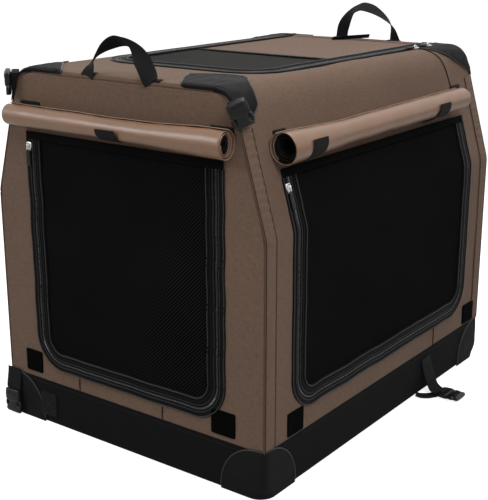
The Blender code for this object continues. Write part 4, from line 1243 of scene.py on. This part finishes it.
# Keys of each handle's arch: a place in millimetres and the direction of the webbing's width
FRONT_HANDLE = (
    (-63, -386, 648, 1, 0, 0), (-57, -384, 661, 0.92, -0.37, -0.1), (-56, -380, 671, 0.72, -0.7, 0.05),
    (-47, -377, 682, 0.6, -0.75, 0.27), (-33, -372, 695, 0.38, -0.7, 0.6), (-12, -370, 706, 0.22, -0.63, 0.74),
    (8, -370, 705, 0.64, -0.68, 0.34), (23, -372, 697, 0.88, -0.4, 0.26), (41, -376, 685, 0.98, 0.11, 0.15),
    (55, -380, 672, 0.85, 0.53, 0), (66, -384, 658, 0.88, 0.44, 0.08), (74, -387, 648, 1, 0, 0.08),
)
REAR_HANDLE = (
    (-60, 386, 650, 1, 0, 0), (-56, 384, 673, 1, 0, 0.09), (-43, 380, 692, 0.94, -0.34, 0),
    (-25, 376, 711, 0.71, -0.71, -0.1), (-4, 373, 720, 0.34, -0.76, -0.53), (21, 372, 715, 0.16, -0.8, -0.55),
    (45, 374, 702, 0.2, -0.95, -0.22), (61, 377, 688, 0.47, -0.88, -0.1), (68, 381, 675, 0.72, -0.69, 0.1),
    (70, 386, 650, 0.98, -0.2, 0.04),
)


def handles():
    """Webbing handles: an arch that leans its face forwards and turns flat on its two sewn feet."""
    for (end, side), keys in zip(ENDS, (FRONT_HANDLE, REAR_HANDLE)):
        line = smoothed(keys, 120, 19)
        strap = band(f"{end}_handle_web", line[:, :3] / 1000, line[:, 3:], 0.0275, 0.0019, "webbing")
        belongs(strap, f"{end}_handle", f"{end}_handle")
        feet = []
        for hand, key in (("left", keys[0]), ("right", keys[-1])):
            x, c, d = key[0] / 1000, *sorted((side * (HALF_L - 0.001), side * (HALF_L - 0.014)))
            feet.append(cushion_sheet(f"{end}_foot_{hand}", x - 0.015, x + 0.015, c, d, on_roof, -0.0012, 0.0026,
                                      "webbing", 0.002, 0.003))
        belongs(joined(f"{end}_handle_feet", feet), "crate")


def buckle(name, origin, across, along, out, length=0.046, half=0.0185, thick=0.0118):
    """Side-release buckle: a waisted socket, a plug with two side catches, and a webbing bar.

    Both are given as places along in millimetres and shares of the half width and half thickness.
    """
    place = framed(origin, across, along, out)
    mid = thick / 2
    end = length * 1000
    socket = ((0, 0.8, 0.62), (1.2, 0.93, 0.8), (6, 0.98, 0.92), (14, 1, 1), (20, 0.97, 1), (22.5, 0.9, 0.96),
              (23.5, 0.8, 0.82))
    plug = ((22.5, 0.6, 0.7), (26, 0.6, 0.72), (32, 0.62, 0.74), (35.5, 0.8, 0.8), (38, 0.97, 0.78),
            (end - 3, 1, 0.7), (end - 0.5, 0.9, 0.5))
    parts = []
    for part, sections in (("socket", socket), ("plug", plug)):
        sections = np.array([(v / 1000, half * wide, mid * tall, mid) for v, wide, tall in sections])
        parts.append(loft(f"{name}_{part}", sections, "plastic", place, 0.42))
    t = np.linspace(0, 1, 14)
    for sign in (-1, 1):
        line = place(sign * half * (0.78 + 0.16 * arch(t) ** 0.8), 0.0225 + 0.0145 * t, mid)
        radius = 0.0024 + 0.0004 * arch(t)
        parts.append(tube(f"{name}_catch_{sign}", line, radius, "plastic", 12, squash=1.3, up=out))
    for v in (0.004, 0.0065, 0.009):
        line = place(np.linspace(-half * 0.62, half * 0.62, 12), v, thick * 0.985)
        parts.append(tube(f"{name}_rib_{v}", line, 0.0006, "plastic", 6, up=out))
    return joined(name, parts)


def buckles_and_straps():
    """The corner buckles with their webbing, and the packing straps at the base."""
    for (hand, sign), below, tilt, length in zip(HANDS, (0.027, 0.0355), (0.0, 0.22), (0.036, 0.041)):
        out = np.array([sign, -1, 0]) / math.sqrt(2)
        lean = DOWN_SLOPE * [sign, 1, 1]
        along = unit(lean - out * (lean @ out))
        z = HEIGHT - below
        origin = np.array([sign * sloped(z), -HALF_L, z]) + out * 0.006 - along * 0.02
        along = along * math.cos(tilt) - np.cross(along, out) * math.sin(tilt)
        axes = np.cross(along, out), along, out
        piece = buckle(f"top_buckle_{hand}", origin, *axes, length, 0.016, 0.0112)
        belongs(piece, "crate", f"corner_buckle_{hand}")
        sections = mm((0.5, 10, 6.6, -7.4), (2, 11.2, 6.8, -7.2), (12, 11.5, 5.2, -4.2), (33, 11, 3.6, -3),
                      (35, 9, 2.4, -3))
        belongs(loft(f"top_buckle_web_{hand}", sections, "webbing", framed(origin, *axes)), "crate")

    low, high = np.array(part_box("side_strap"))
    keys = mm((0, 70), (2, 58), (6.5, 45), (13, 26), (20, 12.5), (27.5, 7.7), (35, 6.5))
    off, z = smoothed(keys, 50, 9).T
    line = stacked(HALF_W + 0.0022 + off, (low + high)[1] / 2, z)
    roll = 0.1 * arch(np.linspace(0, 1, 50))
    across = stacked(0, np.cos(roll), np.sin(roll))
    strap = band("base_strap_side", line, across, BASE_WEBBING, WEBBING, "webbing")
    belongs(strap, "crate", "side_strap")
    keys = ((HALF_W + 0.0016, 0.121, 0.0042), (HALF_W + 0.01, 0.124, 0.0018), (0.312, 0.133, 0.0014),
            (0.3235, 0.144, 0.0034), (0.3285, 0.149, 0.0058))
    loop = band("base_strap_loop", smoothed(keys, 40, 9), (-0.55, 0.83, 0.0), 0.024, WEBBING, "webbing")
    belongs(loop, "base")
    low, high = np.array(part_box("side_strap_buckle"))
    origin = low[0], (low + high)[1] / 2, low[2] + 0.0004
    belongs(buckle("base_buckle_side", origin, (0, 1, 0), (1, 0, 0), (0, 0, 1)), "base", "side_strap_buckle")

    low, high = np.array(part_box("corner_strap"))
    z = np.linspace(high[2], low[2], 30)
    fall = 0.0056 * ease((high[2] - z) / (high[2] - low[2]))
    line = stacked((low + high)[0] / 2, high[1] - 0.0012 - fall, z)
    strap = band("base_strap_corner", line, (1, 0, 0), BASE_WEBBING, WEBBING, "webbing")
    belongs(strap, "base", "corner_strap")
    low, high = np.array(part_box("corner_strap_buckle"))
    origin = (low + high)[0] / 2, high[1] - 0.0003, high[2]
    piece = buckle("base_buckle_corner", origin, (1, 0, 0), (0, 0, -1), (0, -1, 0))
    belongs(piece, "base", "corner_strap_buckle")


def node_place(name, across, along, out, level):
    """Placing at the start of a solid, in its middle across. level is its share between back and face."""
    corners = np.array([v.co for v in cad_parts[name].data.vertices])
    start = out * mix((corners @ out).min(), (corners @ out).max(), level) + along * (corners @ along).min()
    start = start + across * ((corners @ across).max() + (corners @ across).min()) / 2
    return framed(start, across, along, out)


def zip_sliders():
    """Zinc sliders with a bridge, and ribbed pulls that hang from them."""
    x, y, z = np.eye(3)
    plate = mm((0.2, 4.6, 1.2, 1.6), (1, 5.8, 1.5, 1.6), (5, 6, 1.5, 1.6), (9, 5, 1.5, 1.6), (14, 3.4, 1.5, 1.6),
               (15.8, 2.6, 1.1, 1.6))
    pull = mm((6.6, 2.2, 0.8, 0), (7.8, 3.6, 1, 0), (12, 4.3, 1.1, 0), (26, 4.8, 1.2, 0), (33, 4.8, 1.2, 0),
              (34.8, 4, 0.8, 0))
    half_turn, turn = np.linspace(0, math.pi, 26), np.linspace(0, TAU, 36, endpoint=False)
    for name, along, out, across in (
        ("front_zip", -z, -y, x), ("side_zip", DOWN_SLOPE, OFF_SLOPE, y),
        ("roof_zip_front", -y, z, x), ("roof_zip_rear", -y, z, x),
    ):
        place = node_place(f"{name}_slider", across, along, out, 0)
        body = loft(f"{name}_plate", plate, "zinc", place, 0.45)
        line = place(0, 0.007 - 0.0043 * np.cos(half_turn), 0.0024 + 0.0044 * np.abs(np.sin(half_turn)) ** 0.5)
        bridge = tube(f"{name}_bridge", line, 0.0011, "zinc", up=across)
        belongs(joined(f"{name}_zinc", [body, bridge]), f"{name}_slider", f"{name}_slider")

        place = node_place(f"{name}_pull", across, along, out, 0.5)
        wide = 0.0032 * np.sign(np.cos(turn)) * np.abs(np.cos(turn)) ** 0.7
        line = place(wide, 0.0042 + 0.0036 * np.sin(turn))
        eye = tube(f"{name}_ring", line, 0.0008, "zinc", 8, loop=True, up=out)
        belongs(eye, f"{name}_pull")
        parts = [loft(f"{name}_tab", pull, "plastic", place, 0.35)]
        for v in np.arange(0.0135, 0.032, 0.0026):
            line = place(np.linspace(-0.003, 0.003, 6), v, 0.001)
            parts.append(tube(f"{name}_grip_{v:.4f}", line, 0.0005, "plastic", 6, up=out))
        belongs(joined(f"{name}_pull_tab", parts), f"{name}_pull", f"{name}_pull")


def carried_over():
    """Better finishes for the solids that stay: tubes, hinge brackets and pins."""
    finishes = {"hoop": "steel", "base_frame": "steel", "hinge_pin": "zinc", "hinge_bracket": "plastic"}
    for name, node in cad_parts.items():
        for start, finish in finishes.items():
            if name.startswith(start):
                node.data.materials.clear()
                node.data.materials.append(MATS[finish])


# ---- studio


def set_up(obj, place, forward):
    """Puts a lamp or camera at a place, looking forward."""
    obj.location = place
    obj.rotation_mode = "QUATERNION"
    obj.rotation_quaternion = Vector(forward).to_track_quat("-Z", "Y")


def studio():
    """Pale floor, white surroundings for the camera and gloss, three soft lamps."""
    mesh = bpy.data.meshes.new("studio_floor")
    corners = [(14.0 * x, 14.0 * y, -0.0005) for x, y in ((-1, -1), (1, -1), (1, 1), (-1, 1))]
    mesh.from_pydata(corners, [], [(0, 1, 2, 3)])
    floor = shown("studio_floor", mesh)
    f = Finish("studio_white", 0.9)
    f.shader.inputs["Base Color"].default_value = (0.6, 0.6, 0.6, 1)
    glow = f.add("Emission", {"Color": (1, 1, 1, 1), "Strength": 0.77})
    both = f.add("AddShader", {0: f.shader.outputs[0], 1: glow.outputs[0]})
    seen = f.add("LightPath", {}).outputs["Is Camera Ray"]
    chosen = f.add("MixShader", {"Fac": seen, 1: f.shader.outputs[0], 2: both.outputs[0]})
    f.tree.links.new(chosen.outputs[0], f.tree.nodes["Material Output"].inputs["Surface"])
    mesh.materials.append(f.made)

    scene = bpy.context.scene
    scene.world = bpy.data.worlds.new("studio")
    scene.world.use_nodes = True
    sky = Nodes(scene.world.node_tree)
    light = sky.add("LightPath", {}).outputs
    seen = sky.maths("MAXIMUM", light["Is Camera Ray"], light["Is Glossy Ray"])
    seen = sky.maths("MAXIMUM", seen, light["Is Transmission Ray"])
    strength = sky.maths("ADD", sky.maths("MULTIPLY", seen, 1 - AMBIENT), AMBIENT)
    back = sky.tree.nodes["Background"]
    back.inputs["Color"].default_value = (1, 1, 1, 1)
    sky.tree.links.new(strength, back.inputs["Strength"])

    for name, place, aim, size, power in (
        ("key_lamp", (1.7, -1.3, 2.3), (0, 0, 0.3), 1.5, 47.0),
        ("fill_lamp", (-1.6, -2.2, 1.7), (0, 0, 0.3), 1.0, 25.0),
        ("top_lamp", (0.1, 0.5, 2.6), (0, 0, 0.4), 1.6, 38.0),
    ):
        data = bpy.data.lights.new(name, "AREA")
        data.shape = "DISK"
        data.size = size
        data.energy = power
        set_up(shown(name, data), place, Vector(aim) - Vector(place))

    data = bpy.data.cameras.new("photo_view")
    data.lens = CAMERA_LENS
    data.sensor_width = 36.0
    camera = shown("photo_view", data)
    yaw, pitch = CAMERA_YAW, CAMERA_PITCH
    forward = (math.sin(yaw) * math.cos(pitch), math.cos(yaw) * math.cos(pitch), -math.sin(pitch))
    set_up(camera, CAMERA_PLACE, forward)
    scene.camera = camera
    scene.view_settings.view_transform = "Standard"


for build in (
    studio, carried_over, long_walls, end_walls, roof_cloth, hatch_panel, doors_and_windows, window_covers,
    rolled_covers, base_tray, base_patches, floor_mat, top_patches, face_corners, corner_seams, sewn_details,
    handles, buckles_and_straps, zip_sliders,
):
    build()
